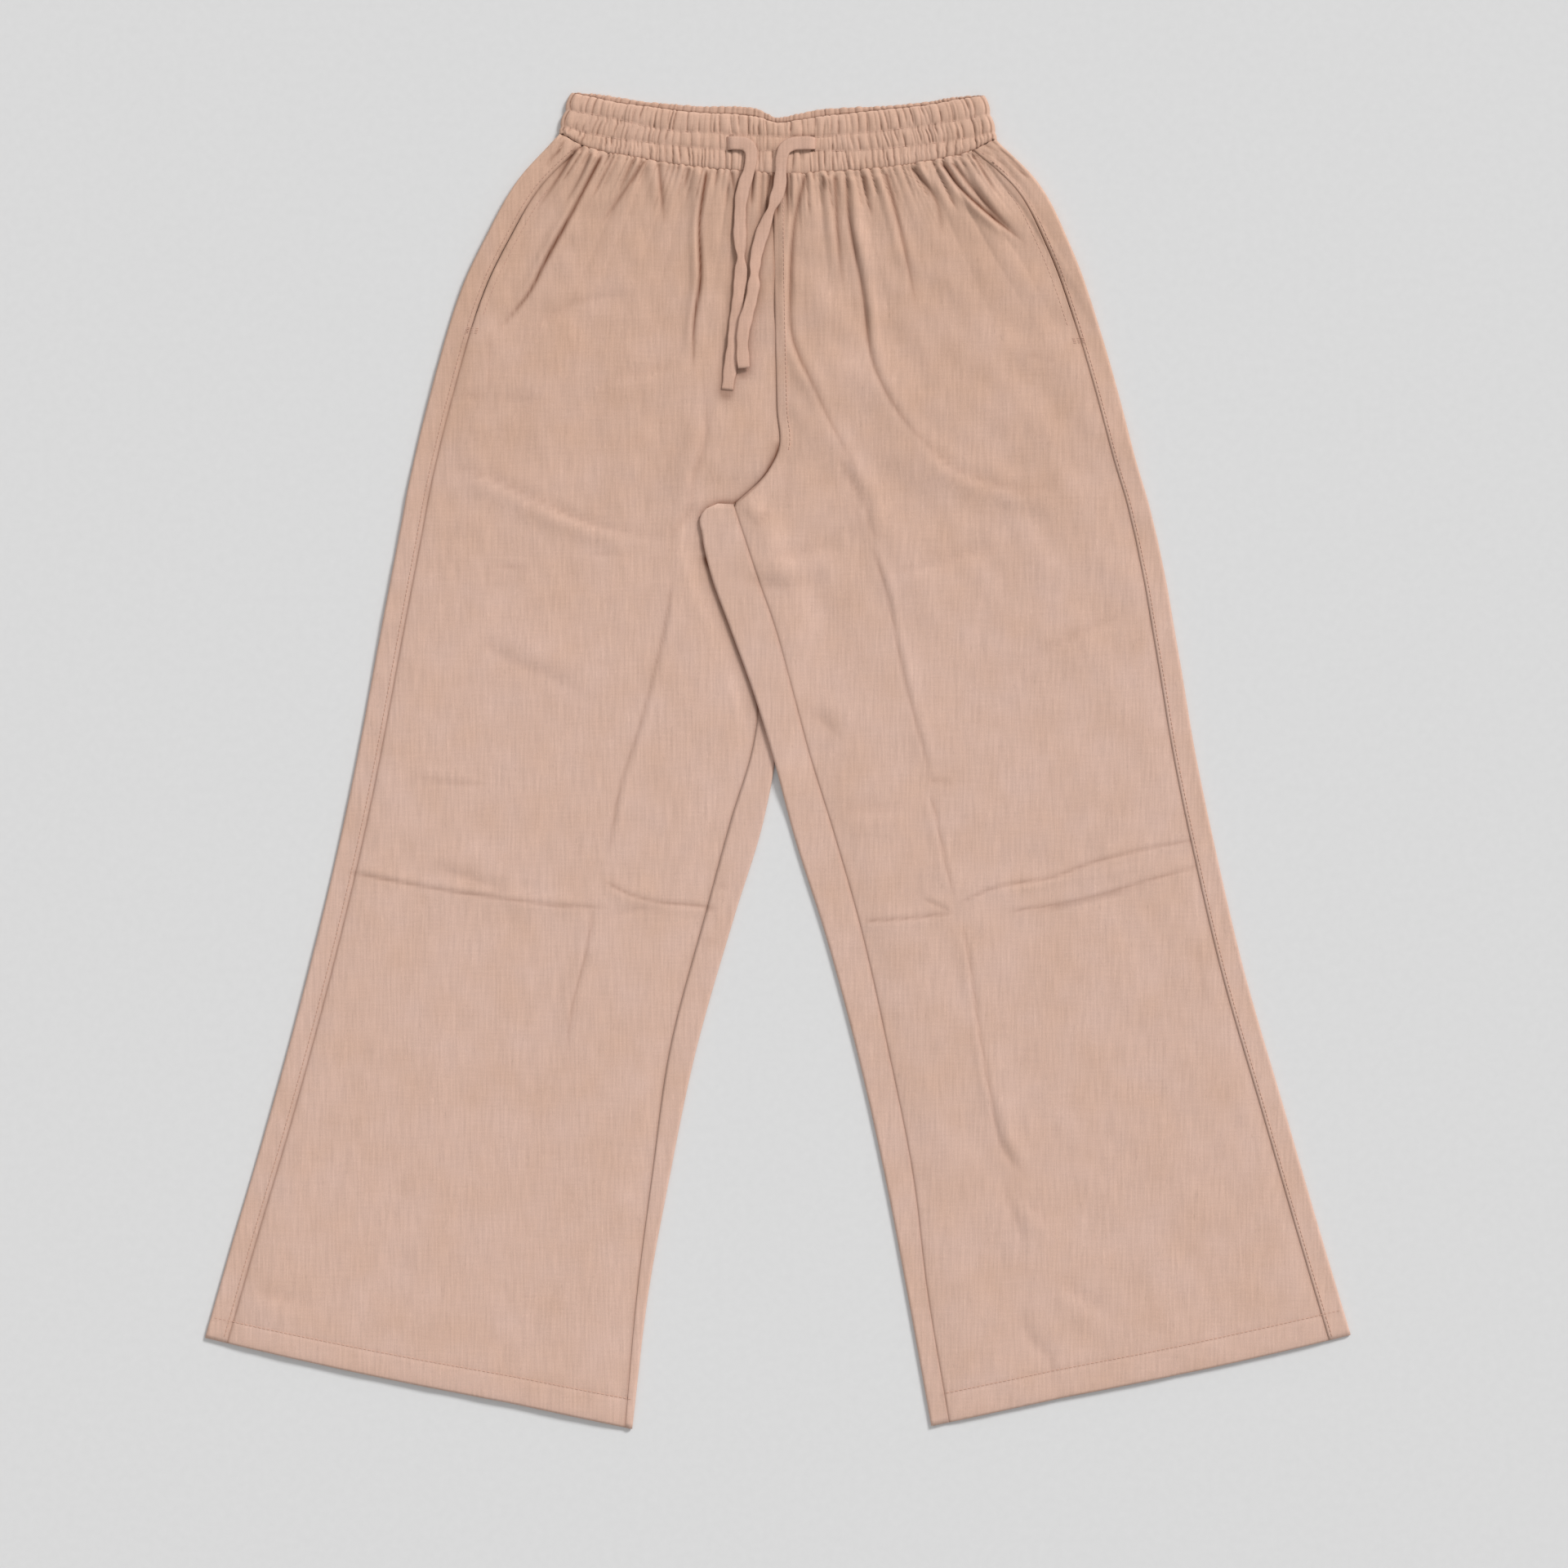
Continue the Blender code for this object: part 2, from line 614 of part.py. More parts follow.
def body_keys(leg):
    """Keys of the plain rows, from the last gathered row to the hem."""
    start = leg.keys[0] + FOLD_ROWS[-1]
    hem = leg.keys[-1]
    fixed = [start, LAP_STARTS, *CROTCH_ROWS, leg.knee - KNEE_HALF, leg.knee, leg.knee + KNEE_HALF]
    fixed += [hem - HEM_DEPTH - HEM_RAMP, hem - HEM_DEPTH, hem]
    keys = []
    for above, below in zip(fixed[:-1], fixed[1:]):
        parts = max(1, round((below - above) / BODY_STEP))
        keys += [above + (below - above) * i / parts for i in range(parts)]
    return keys + [hem]


def build_front(leg, name):
    """A front panel: fine gathers, long folds, then the plain leg with its creases."""
    rng = random.Random(PANEL_SEED + leg.side)
    heights = [0.0]
    for i in range(1, GATHER_COLUMNS):
        heights.append((GATHER_HEIGHT if i % 2 else -GATHER_HEIGHT) * rng.uniform(*GATHER_SPREAD))
    heights.append(0.0)
    skin = Skin()
    first = leg.keys[0]
    above = None
    for below in GATHER_ROWS:
        row = front_row(skin, leg, first + below, *fine_marks(leg, below, heights))
        if above:
            skin.join(above, row)
        above = row
    for below in FOLD_ROWS[1:]:
        row = front_row(skin, leg, first + below, *gather_marks(leg, below))
        skin.join(above, row)
        above = row
    hem = leg.keys[-1]
    for key in body_keys(leg)[1:]:
        marks, relief = body_marks(leg, key)
        if key >= hem - HEM_DEPTH:
            relief = [rise + HEM_STEP for rise in relief]
        row = front_row(skin, leg, key, marks, relief)
        skin.join(above, row)
        above = row
    skin.build(name, LINEN, flipped=leg.side < 0)


def back_row(skin, leg, key, wide):
    """One row of a back panel, from the side seam round the outer fold to the inner edge.

    The row ends at the rise seam on the floor, or where wide is set goes on round the
    inner fold and back over the front to the inseam.
    """
    outer_fold, inner_seam, along = leg.ends(key)
    out_high = leg.value("out_high", key)
    in_high = leg.value("in_high", key)
    path = []
    for share in TOP_STRIP_SHARES[:1] if wide else TOP_STRIP_SHARES:
        top = outer_fold + along * ((SIDE_STRIP - SEAM_GAP / 2) * (1.0 - share) + FOLD_ROUND * share)
        path.append((share, top, out_high, top, out_high - CLOTH))
    path += fold_path(1.0, outer_fold, along, out_high)
    length = np.linalg.norm(inner_seam - outer_fold)
    lap = [(x - outer_fold[0]) / (inner_seam[0] - outer_fold[0]) for x in lap_places(leg, key)]
    flat = list(FLOOR_SHARES)
    if not wide:
        flat = list(np.linspace(TOP_FLOOR_INSET, 1.0 - TOP_FLOOR_INSET, TOP_FLOOR_COLUMNS))
    flat = sorted(flat + [share for share in lap if share < 1.0 - SEAM_MARGIN])
    for share in flat:
        place = outer_fold + along * length * share
        path.append((MARK_FLOOR + (MARK_SEAM - MARK_FLOOR) * share, place, 0.0, place, CLOTH))
    edge = inner_seam - along * SEAM_GAP / 2
    path.append((MARK_SEAM, edge, 0.0, edge, CLOTH))
    if key >= CROTCH_DROP:
        strip = leg.value("strip", key)
        inner_fold = inner_seam + along * strip
        last = 1.0 + (strip - STRIP_MARGIN) / length
        for share in sorted(share for share in lap if 1.0 + SEAM_MARGIN < share < last):
            place = outer_fold + along * length * share
            path.append((MARK_SEAM + share - 1.0, place, 0.0, place, CLOTH))
        turn = reversed(fold_path(-1.0, inner_fold, -along, in_high))
        path += [(MARK_INNER_FOLD + row[0], *row[1:]) for row in turn]
        top = inner_seam + along * SEAM_GAP / 2
        path.append((MARK_INSEAM, top, in_high, top, in_high - CLOTH))
    marks = [row[0] for row in path]
    outer = []
    inner = []
    for _, place, high, place_in, high_in in path:
        hang = leg.sag(np.linalg.norm(place - outer_fold), length, key)
        rise = lift(leg, place[0], place[1])
        outer.append(point(place[0], place[1] + hang, high + rise))
        inner.append(point(place_in[0], place_in[1] + hang, high_in + rise))
    return skin.row(marks, outer, inner)


def fold_path(order, fold, inward, high):
    """The turn over a fold, from the top to the floor: half an ellipse and its offset."""
    path = []
    for i, angle in enumerate((90.0, FOLD_TURN, -FOLD_TURN, -90.0)):
        turn = np.radians(angle)
        reach = FOLD_ROUND * np.cos(np.radians(FOLD_TURN))
        out = fold + inward * (reach - FOLD_ROUND * np.cos(turn))
        within = fold + inward * (reach - (FOLD_ROUND - CLOTH) * np.cos(turn))
        out_high = high / 2 * (1.0 + np.sin(turn))
        in_high = high / 2 + (high / 2 - CLOTH) * np.sin(turn)
        path.append((order * (1.0 + i), out, out_high, within, in_high))
    return path


def build_back(leg, name):
    """A back panel: flat on the floor and turned over the folds of its leg."""
    skin = Skin()
    keys = [leg.keys[0] + below for below in GATHER_ROWS + FOLD_ROWS[1:-1]] + body_keys(leg)
    above = back_row(skin, leg, keys[0], False)
    for key in keys[1:]:
        row = back_row(skin, leg, key, True)
        if key <= CROTCH_DROP:
            skin.join(above, [entry for entry in row if entry[0] <= MARK_SEAM])
        else:
            skin.join(above, row)
        above = row
    skin.build(name, LINEN, flipped=leg.side < 0)


def band_drop(row, x, back):
    """Drop of one row of the waistband at x along the seam, on the front or the back."""
    above = waist(row.above, x)
    if back and row.above == "front_rim":
        above = waist("back_rim", x)
    return above + (waist(row.below, x) - above) * row.share


def near_cord(x):
    """1 under the stretch of drawstring that lies along the waistband, 0 away from it."""
    spans = ((RIGHT_CORD[0].x, RIGHT_CORD[CORD_TURN].x), (LEFT_CORD[CORD_TURN].x, LEFT_CORD[0].x))
    away = min(max(low - x, x - high, 0.0) for low, high in spans)
    return 1.0 - float(ease(away / FLAT_UNDER_CORD))


def build_band():
    """The waistband: a flattened tube, gathered outside and plain inside."""
    rng = random.Random(BAND_SEED)
    columns = []
    waves = 2 * BAND_WAVES
    for i in range(waves + 1):
        shift = rng.uniform(-BAND_SHIFT, BAND_SHIFT) if 0 < i < waves else 0.0
        wave = (1.0 if i % 2 else -1.0) * rng.uniform(*BAND_SPREAD) if 0 < i < waves else 0.0
        columns.append(("front", (i + shift) / waves, wave))
    columns += [("right", FOLD_TURN, 0.0), ("right", -FOLD_TURN, 0.0)]
    waves = 2 * BACK_WAVES
    for i in range(waves + 1):
        wave = (1.0 if i % 2 else -1.0) * rng.uniform(*BACK_SPREAD) if 0 < i < waves else 0.0
        columns.append(("back", 1.0 - i / waves, wave))
    columns += [("left", -FOLD_TURN, 0.0), ("left", FOLD_TURN, 0.0)]
    skin = Skin()
    above = None
    for number, row in enumerate(BAND_ROWS):
        outer = []
        inner = []
        for kind, place, wave in columns:
            out_point, in_point = band_point(row, number, kind, place, wave)
            outer.append(out_point)
            inner.append(in_point)
        entries = skin.row(range(len(columns)), outer, inner)
        entries.append((len(columns), entries[0][1]))
        if above:
            skin.join(above, entries)
        above = entries
    band = skin.build("waistband", LINEN_BAND)
    cut_slot(band, "slot_right", RIGHT_CORD[0])
    cut_slot(band, "slot_left", LEFT_CORD[0])


def band_point(row, number, kind, place, wave):
    """Outer and inner point of one column of the waistband on one row."""
    share = number / (len(BAND_ROWS) - 1)
    half = BAND_HALF_RIM + (BAND_HALF_SEAM - BAND_HALF_RIM) * share
    if kind in ("left", "right"):
        side = -1.0 if kind == "left" else 1.0
        turn = np.radians(place)
        seam_x = side * BAND_HALF_SEAM
        drop = float(band_drop(row, seam_x, place < 0.0))
        middle_x = half - BAND_ROUND * np.cos(np.radians(FOLD_TURN))
        x = side * (middle_x + BAND_ROUND * np.cos(turn))
        x_in = side * (middle_x + (BAND_ROUND - BAND_WALL) * np.cos(turn))
        middle = (BAND_WALL + BAND_INSIDE) / 2
        high_in = middle + (BAND_INSIDE - BAND_WALL) / 2 * np.sin(turn)
        high = row.high / 2 * (1.0 + np.sin(turn))
        return point(x, drop, high), point(x_in, drop, high_in)
    x = (2.0 * place - 1.0) * (half - BAND_ROUND)
    seam_x = x / half * BAND_HALF_SEAM
    drop = float(band_drop(row, seam_x, kind == "back"))
    if kind == "back":
        relief = BACK_RELIEF * (1.0 + wave) * max(0.0, 1.0 - number)
        return point(x, drop, 0.0), point(x, drop, BAND_WALL + relief * edge_fade(place))
    relief = row.relief * wave * edge_fade(place)
    if row.above == "upper_stitch" or (row.below, row.share) == ("upper_stitch", 1.0):
        relief *= 1.0 - near_cord(x)
    return point(x, drop, row.high + relief), point(x, drop, BAND_INSIDE)


def edge_fade(place):
    """0 at the waistband's side folds, 1 a little way in."""
    return float(ease(min(place, 1.0 - place) / BAND_EDGE))


def cut_slot(band, name, start):
    """Cuts a buttonhole into the front of the waistband, round the cord's first point."""
    half = (SLOT_WIDTH / 2, SLOT_LENGTH / 2)
    corners = [(start.x + a * half[0], start.drop + b * half[1], high)
               for high in (SLOT_FLOOR, SLOT_TOP) for a, b in ((-1, -1), (1, -1), (1, 1), (-1, 1))]
    faces = [(0, 1, 2, 3), (7, 6, 5, 4), (0, 4, 5, 1), (1, 5, 6, 2), (2, 6, 7, 3), (3, 7, 4, 0)]
    cutter = add_object(name, [point(*corner) for corner in corners], faces, LINEN_BAND)
    cutter.hide_render = True
    cutter.display_type = "WIRE"
    cut = band.modifiers.new(name, "BOOLEAN")
    cut.operation = "DIFFERENCE"
    cut.solver = "EXACT"
    cut.object = cutter


def build_cord(route, name):
    """One free end of the drawstring: a flat strip along a smooth route."""
    raw = np.array([(row.x, row.drop, row.high) for row in route])
    reach = np.concatenate(([0.0], np.cumsum(np.linalg.norm(np.diff(raw, axis=0), axis=1))))
    count = int(reach[-1] / CORD_STEP) + 1
    at = np.unique(np.concatenate((np.linspace(0.0, reach[-1], count), reach[:CORD_TURN_POINTS])))
    keep = np.concatenate(([True], np.diff(at) > CORD_LEAST_STEP))
    at = at[keep]
    path = np.stack([curve(reach, raw[:, axis], at) for axis in range(3)], axis=1)
    path[:, 1] = LENGTH / 2 - path[:, 1]
    along = np.gradient(path, at, axis=0)
    along /= np.linalg.norm(along, axis=1)[:, None]
    side = np.cross(along, (0.0, 0.0, 1.0))
    side /= np.linalg.norm(side, axis=1)[:, None]
    up = np.cross(side, along)
    corners = [(path + side * a * CORD_WIDTH / 2 + up * b * CORD_THICK / 2) * MM
               for a, b in ((1, 1), (1, -1), (-1, -1), (-1, 1))]
    points = [tuple(corners[k][i]) for i in range(len(path)) for k in range(4)]
    faces = [(3, 2, 1, 0), tuple(4 * (len(path) - 1) + k for k in range(4))]
    for i in range(len(path) - 1):
        for k in range(4):
            a = 4 * i + k
            b = 4 * i + (k + 1) % 4
            faces.append((a, b, b + 4, a + 4))
    add_object(name, points, faces, LINEN_CORD)


def build_pocket(leg, name):
    """The pocket bag: a plain flat piece between front and back, behind the slit."""
    skin = Skin()
    above = None
    for row in POCKET:
        outer_x = float(curve(leg.columns["out_drop"], leg.columns["out_x"], row.drop))
        start = outer_x - leg.side * (SIDE_STRIP + BAG_INSET)
        end = start - leg.side * row.width
        places = (start, end) if leg.side < 0 else (end, start)
        top = [point(x, row.drop, CLOTH + SEAM_GAP + BAG_THICK) for x in places]
        low = [point(x, row.drop, CLOTH + SEAM_GAP) for x in places]
        entries = skin.row((0.0, 1.0), top, low)
        if above:
            skin.join(above, entries)
        above = entries
    skin.build(name, LINEN)


def build():
    """Clears the scene and makes every piece of the pants."""
    for item in list(bpy.data.objects):
        bpy.data.objects.remove(item, do_unlink=True)
    build_back(RIGHT, "back_right")
    build_back(LEFT, "back_left")
    build_pocket(RIGHT, "pocket_bag_right")
    build_pocket(LEFT, "pocket_bag_left")
    build_front(RIGHT, "front_right")
    build_front(LEFT, "front_left")
    build_band()
    build_cord(RIGHT_CORD, "drawstring_right")
    build_cord(LEFT_CORD, "drawstring_left")


build()
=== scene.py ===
"""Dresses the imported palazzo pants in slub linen, in a plain studio seen from above.

The pants lie on their back on the plane z = 0, waist towards +Y, the wearer's left leg
towards +X. Each panel is a thin closed shell on its solid's form. Lengths are in
millimetres until a mesh is made; a drop is measured down the garment from the upper
corner of the waistband. Creases are placed where the photo shows them, as pixels of its
1920 pixel frame, which one function turns into millimetres.
"""

import logging
from dataclasses import dataclass, field
from enum import Enum

import bpy
import numpy as np
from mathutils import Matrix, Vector

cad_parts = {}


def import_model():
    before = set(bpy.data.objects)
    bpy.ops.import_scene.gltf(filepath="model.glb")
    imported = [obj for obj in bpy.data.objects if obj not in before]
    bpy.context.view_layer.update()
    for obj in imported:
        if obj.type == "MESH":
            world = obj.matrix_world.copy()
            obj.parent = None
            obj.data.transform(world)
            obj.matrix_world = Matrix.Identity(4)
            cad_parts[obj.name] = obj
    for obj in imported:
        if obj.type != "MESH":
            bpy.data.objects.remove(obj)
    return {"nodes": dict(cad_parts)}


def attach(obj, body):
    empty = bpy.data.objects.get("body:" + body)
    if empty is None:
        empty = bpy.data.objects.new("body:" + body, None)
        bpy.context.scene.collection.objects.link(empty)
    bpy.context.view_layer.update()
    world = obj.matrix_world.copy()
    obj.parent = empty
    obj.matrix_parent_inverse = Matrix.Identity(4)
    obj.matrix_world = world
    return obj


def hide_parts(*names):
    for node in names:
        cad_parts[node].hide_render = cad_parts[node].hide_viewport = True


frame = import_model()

LOG = logging.getLogger("palazzo_pants")
MM = 0.001
WAIST_Y = 507.0

# The photo: millimetres a pixel, and the pixel at x = 0 and at drop = 0
PIXEL = 0.62
PIXEL_CENTRE = 952.5
PIXEL_TOP = 114.0

# Cloth
THICK = 0.8
HEM_THICK = 1.3
SEAM_GAP = 0.3
SIDE_STRIP = 17.0
FOLD_ROUND = 2.2
FOLD_TURN = 35.0
EDGE_DIP = 0.2
SEAM_SHADE = 0.34
SEAM_LINE = 0.9
EDGE_WIDTH = 1.6
UNDERLAP = 1.3
UNDERLAP_SINK = 0.9
PUFF = 1.2
PUFF_RISE = 30.0
PUFF_EDGE = 4.0
HEM_DEPTH = 22.0
HEM_STEP = 0.3
HEM_ROLL = 0.9
HEM_SAG = 1.7
HEM_SAG_REACH = 90.0
HEM_SAG_END = 0.72
CROTCH_ROUND = 2.6
CROTCH_ROUND_DEPTH = 9.5
FELL_WIDTH = 8.5
FELL_RISE = 0.45
FRONT_LEAST = 2.45
OVER_POCKET_LEAST = 3.65
FRONT_FLOOR = 1.55
OVER_POCKET_FLOOR = 2.75
POCKET_DROPS = (60.0, 252.0)
POCKET_REACH = 137.0

# The left leg's inner edge lies over the right leg's
LAP_LIFT = 3.15
LAP_CLEAR = 3.0
LAP_FALL = 34.0
LAP_STARTS = 271.0
CROTCH_DROP = 312.5
LAP_ENDS = 512.0
LAP_DOWN = 565.0
LAP_FULL_EARLY = 3.0
TUCK_MARGIN = 4.0
TUCK_FALL = 16.0
TUCK_STARTS = 286.0
TUCK_RISE = 18.0
TUCK_ENDS = 520.0
TUCK_OUT = 40.0
SAG_FADE = 120.0
RISE_CURVE = 271.0
LAP_EDGE_DEEP = 38.0
# Painted shade over the hips: the drops over which it fades out, and its share
HIP_WARM = (60.0, 480.0)
HIP_SHADE = 0.03

# Pocket slits down the side seams
SLIT_TOP = 63.0
SLIT_END = 196.0
SLIT_GAPE = 0.35
SLIT_RISE = 0.5

# Grids
FRONT_COLUMNS = 168
FRONT_TOP_STEP = 1.9
FRONT_STEP = 3.9
KNEE_STEP = 1.9
TOP_ROWS_END = 190.0
KNEE_ROWS = (560.0, 650.0)
LOW_STEP = 5.6
HEM_ROWS = 14
HEM_ROWS_DEPTH = 26.0
STRIP_COLUMNS = 9
ARC_COLUMNS = 9
FLOOR_COLUMNS = 42
BACK_STEP = 4.2

# Across a crease, in half widths: the power of its bell, the place and width of the
# cloth piled up on one side, and the place, width and share of that on the other
BELL_POWER = 1.35
PILED = (2.2, 2.5)
PILED_BACK = (2.4, 2.2, 0.2)
CREASE_REACH = 8.0
WAVER = 0.15
WAVER_LENGTH = 11.0

# A crease's line: its least width in mm, that as a share of the half width, how far its
# middle saturates, and its part of the crease's shade
CREASE_LINE = 0.85
CREASE_LINE_SHARE = 0.6
CREASE_LINE_TOP = 1.25
CREASE_LINE_PART = 0.85

# Gathers under the waistband: spacing, height and how far down they fade
FINE_GATHER = 6.0
FINE_HEIGHT = 1.7
FINE_FADE = 27.0
FINE_NOTCH = 1.3
FINE_POWER = 1.3
GATHER_LINES = (1.3, 0.7)
GATHER_SPAN = 400.0
FINE_SEED = 41
RIPPLE_MEAN = 0.4
SEAM_WIDENING = 1.12
SPREAD_LENGTH = 260.0
WIDE_GATHER = 17.0
WIDE_HEIGHT = 2.0
WIDE_FADE = 88.0
WIDE_POWER = 1.5
WIDE_SEED = 57

# Unevenness of the lying cloth: where the hips end, seeds, shortest and longest waves
LOOSE_HIP = (260.0, 480.0)
SWELL_SEED = 71
SWELL_WAVES = (45.0, 150.0)
FLUTTER_SEED = 83
FLUTTER_WAVES = (16.0, 42.0)

# Waistband
BAND_HALF_SEAM = 165.5
BAND_HALF_RIM = 156.2
BAND_INSIDE = 3.0
BAND_ROUND = 3.2
BAND_WALL = 1.3
BAND_FRONT_COLUMNS = 640
BAND_BACK_COLUMNS = 420
BAND_ROWS = 34
BAND_BASE = 4.75
BAND_PUFF = 0.8
BAND_GATHER = 1.5
BAND_NOTCH = 1.0
BAND_LIP = 0.6
BAND_SCALLOP = 1.0
BAND_BULGE = 1.6
BAND_END = 0.014
BAND_SPAN = 331.0
CHANNEL_GATHERS = (6.9, 5.6, 4.4)
CHANNEL_SEED = 6
SHARED_GATHER = 6.6
SHARED_SEED = 5
BACK_GATHER = 4.6
BACK_SEED = 15
UNDER_GATHER = 5.4
UNDER_SEED = 16
CORD_FLATS = ((-38.4, -20.0), (3.0, 28.4))
FLAT_UNDER_CORD = 12.0
SLOT_X = (-37.2, 27.2)
SLOT_DROP = 39.1
SLOT_HALF = (1.6, 5.6)
SLOT_DEEP = 1.3

# Drawstring
CORD_WIDTH = 9.5
CORD_THICK = 1.6
CORD_STEP = 1.6
CORD_SIDES = 14
CORD_SHADOW = (-0.8, 0.6)

# Sewing thread
THREAD = 0.32
STITCH = 2.5
STITCH_PITCH = 3.4
STITCH_PROBE = 0.8
STITCH_SIDES = 5
STITCH_RISE = 0.12
SEAM_STITCH_IN = 3.2
FACING_STITCH = 6.0
FACING_ROWS = (34.0, 196.0)
RISE_STITCH_END = 270.0
BARTACK_KEY = 205.0
BARTACK_PITCH = 0.9

# Camera and light
LENS = 85.0
SENSOR = 36.0
FRAME_WIDTH = 1190.4
LOOK_AT = (4.65, -17.4)
FLOOR_HALF = 4.0
FLOOR_TINT = "DDDDDD"
KEY_LIGHT = ((1.0, 1.1, 0.95), 2.6, 16.0)
FILL_LIGHT = ((-1.0, -0.3, 2.6), 0.2, 60.0)
SKY_STRENGTH = 0.455

# Half turn of a fold, from above to below, and how far in its middle lies
TURN = np.radians(np.linspace(90.0, -90.0, ARC_COLUMNS))
FOLD_REACH = FOLD_ROUND * np.cos(np.radians(FOLD_TURN))
BAND_REACH = BAND_ROUND * np.cos(np.radians(FOLD_TURN))


@dataclass(frozen=True)
class Section:
    """One section of a leg: outer fold, the front panel's inner edge, the strip that
    the back panel turns over the inner fold, and the height of both edges."""

    out_x: float
    out_drop: float
    in_x: float
    in_drop: float
    strip: float
    out_high: float
    in_high: float


LEFT_LEG = tuple(Section(*row) for row in (
    (165.5, 36.3, -3.7, 62.3, 0.0, 5.8, 5.8),
    (196.0, 67.0, -3.4, 95.0, 0.0, 5.8, 5.4),
    (221.0, 115.0, -3.0, 140.0, 0.0, 5.4, 4.8),
    (240.0, 167.0, -2.0, 190.0, 0.0, 5.0, 4.4),
    (259.0, 232.0, -0.8, 240.0, 0.0, 4.4, 4.0),
    (271.5, 280.0, 0.3, 271.0, 0.0, 4.0, 3.8),
    (280.0, 308.0, -10.5, 291.0, 0.0, 3.8, 3.4),
    (285.5, 330.0, -33.5, 312.5, 12.0, 3.7, 2.8),
    (287.5, 338.0, -30.5, 322.0, 27.0, 3.7, 2.8),
    (290.0, 350.0, -25.5, 337.0, 31.5, 3.6, 2.8),
    (294.5, 372.0, -16.0, 366.0, 34.5, 3.6, 2.8),
    (300.0, 404.0, -2.8, 403.6, 34.0, 3.6, 2.8),
    (307.5, 448.0, 11.5, 455.0, 29.5, 3.6, 2.8),
    (313.5, 485.0, 23.5, 500.0, 27.5, 3.5, 2.9),
    (320.5, 522.0, 42.0, 560.0, 29.5, 3.5, 3.2),
    (330.5, 569.0, 62.0, 630.0, 27.0, 3.4, 3.3),
    (353.0, 665.0, 83.5, 725.0, 23.0, 3.4, 3.3),
    (383.5, 770.0, 103.0, 824.0, 20.5, 3.3, 3.2),
    (407.0, 851.0, 113.0, 906.0, 15.0, 3.3, 3.2),
    (434.3, 942.4, 130.0, 1008.5, 13.5, 3.2, 3.2),
))

RIGHT_LEG = tuple(Section(*row) for row in (
    (-165.5, 31.8, -3.7, 62.3, 0.0, 5.8, 5.8),
    (-195.0, 64.0, -3.4, 95.0, 0.0, 5.8, 5.4),
    (-222.0, 111.0, -3.0, 140.0, 0.0, 5.4, 4.8),
    (-243.0, 158.0, -2.0, 190.0, 0.0, 5.0, 4.4),
    (-263.0, 227.0, -0.8, 240.0, 0.0, 4.4, 4.0),
    (-274.5, 273.0, 0.3, 271.0, 0.0, 4.0, 3.6),
    (-280.6, 301.0, -10.5, 291.0, 0.0, 3.8, 3.1),
    (-285.0, 325.0, -33.5, 312.5, 4.0, 3.7, 2.8),
    (-289.0, 346.0, -30.0, 345.0, 15.0, 3.6, 2.8),
    (-294.0, 372.0, -25.5, 377.0, 21.0, 3.6, 2.8),
    (-304.0, 425.0, -18.0, 425.0, 18.5, 3.6, 2.8),
    (-309.5, 455.0, -14.5, 458.0, 15.5, 3.6, 2.8),
    (-316.0, 490.0, -19.0, 495.0, 18.0, 3.5, 2.8),
    (-325.0, 535.0, -36.0, 552.0, 24.5, 3.5, 3.1),
    (-339.0, 598.0, -55.0, 622.0, 22.0, 3.4, 3.2),
    (-361.8, 690.0, -82.0, 725.0, 19.5, 3.4, 3.3),
    (-387.8, 785.0, -96.0, 824.0, 13.0, 3.3, 3.2),
    (-411.4, 865.0, -106.5, 906.0, 8.5, 3.3, 3.2),
    (-434.3, 944.5, -116.0, 1012.5, 5.2, 3.2, 3.2),
))


@dataclass(frozen=True)
class WaistColumn:
    """Drops of the waistband's rims, stitched rows and lower seam at one x."""

    x: float
    back_rim: float
    front_rim: float
    upper_stitch: float
    lower_stitch: float
    seam: float


WAIST = tuple(WaistColumn(*row) for row in (
    (-165.5, 0.0, 1.0, 14.0, 26.0, 31.5),
    (-150.0, 1.2, 4.0, 16.5, 30.5, 40.5),
    (-130.5, 3.7, 8.1, 19.8, 34.4, 45.9),
    (-104.0, 7.4, 11.2, 26.0, 37.8, 50.8),
    (-80.0, 9.3, 14.3, 29.4, 40.3, 54.6),
    (-57.5, 10.5, 16.1, 30.4, 42.8, 57.4),
    (-34.0, 10.5, 16.9, 31.9, 44.0, 59.4),
    (-16.5, 12.4, 18.9, 32.9, 44.3, 60.8),
    (-1.5, 18.7, 22.9, 33.8, 44.3, 62.0),
    (14.0, 16.7, 21.7, 34.1, 44.3, 62.4),
    (32.0, 13.0, 18.9, 34.1, 44.3, 60.8),
    (53.5, 11.5, 16.7, 31.9, 44.6, 59.8),
    (91.5, 9.9, 13.0, 28.5, 41.9, 56.4),
    (122.5, 6.8, 9.9, 24.2, 38.6, 51.0),
    (147.0, 3.4, 5.6, 20.5, 34.7, 45.2),
    (165.5, 2.0, 3.0, 17.0, 30.4, 36.0),
))

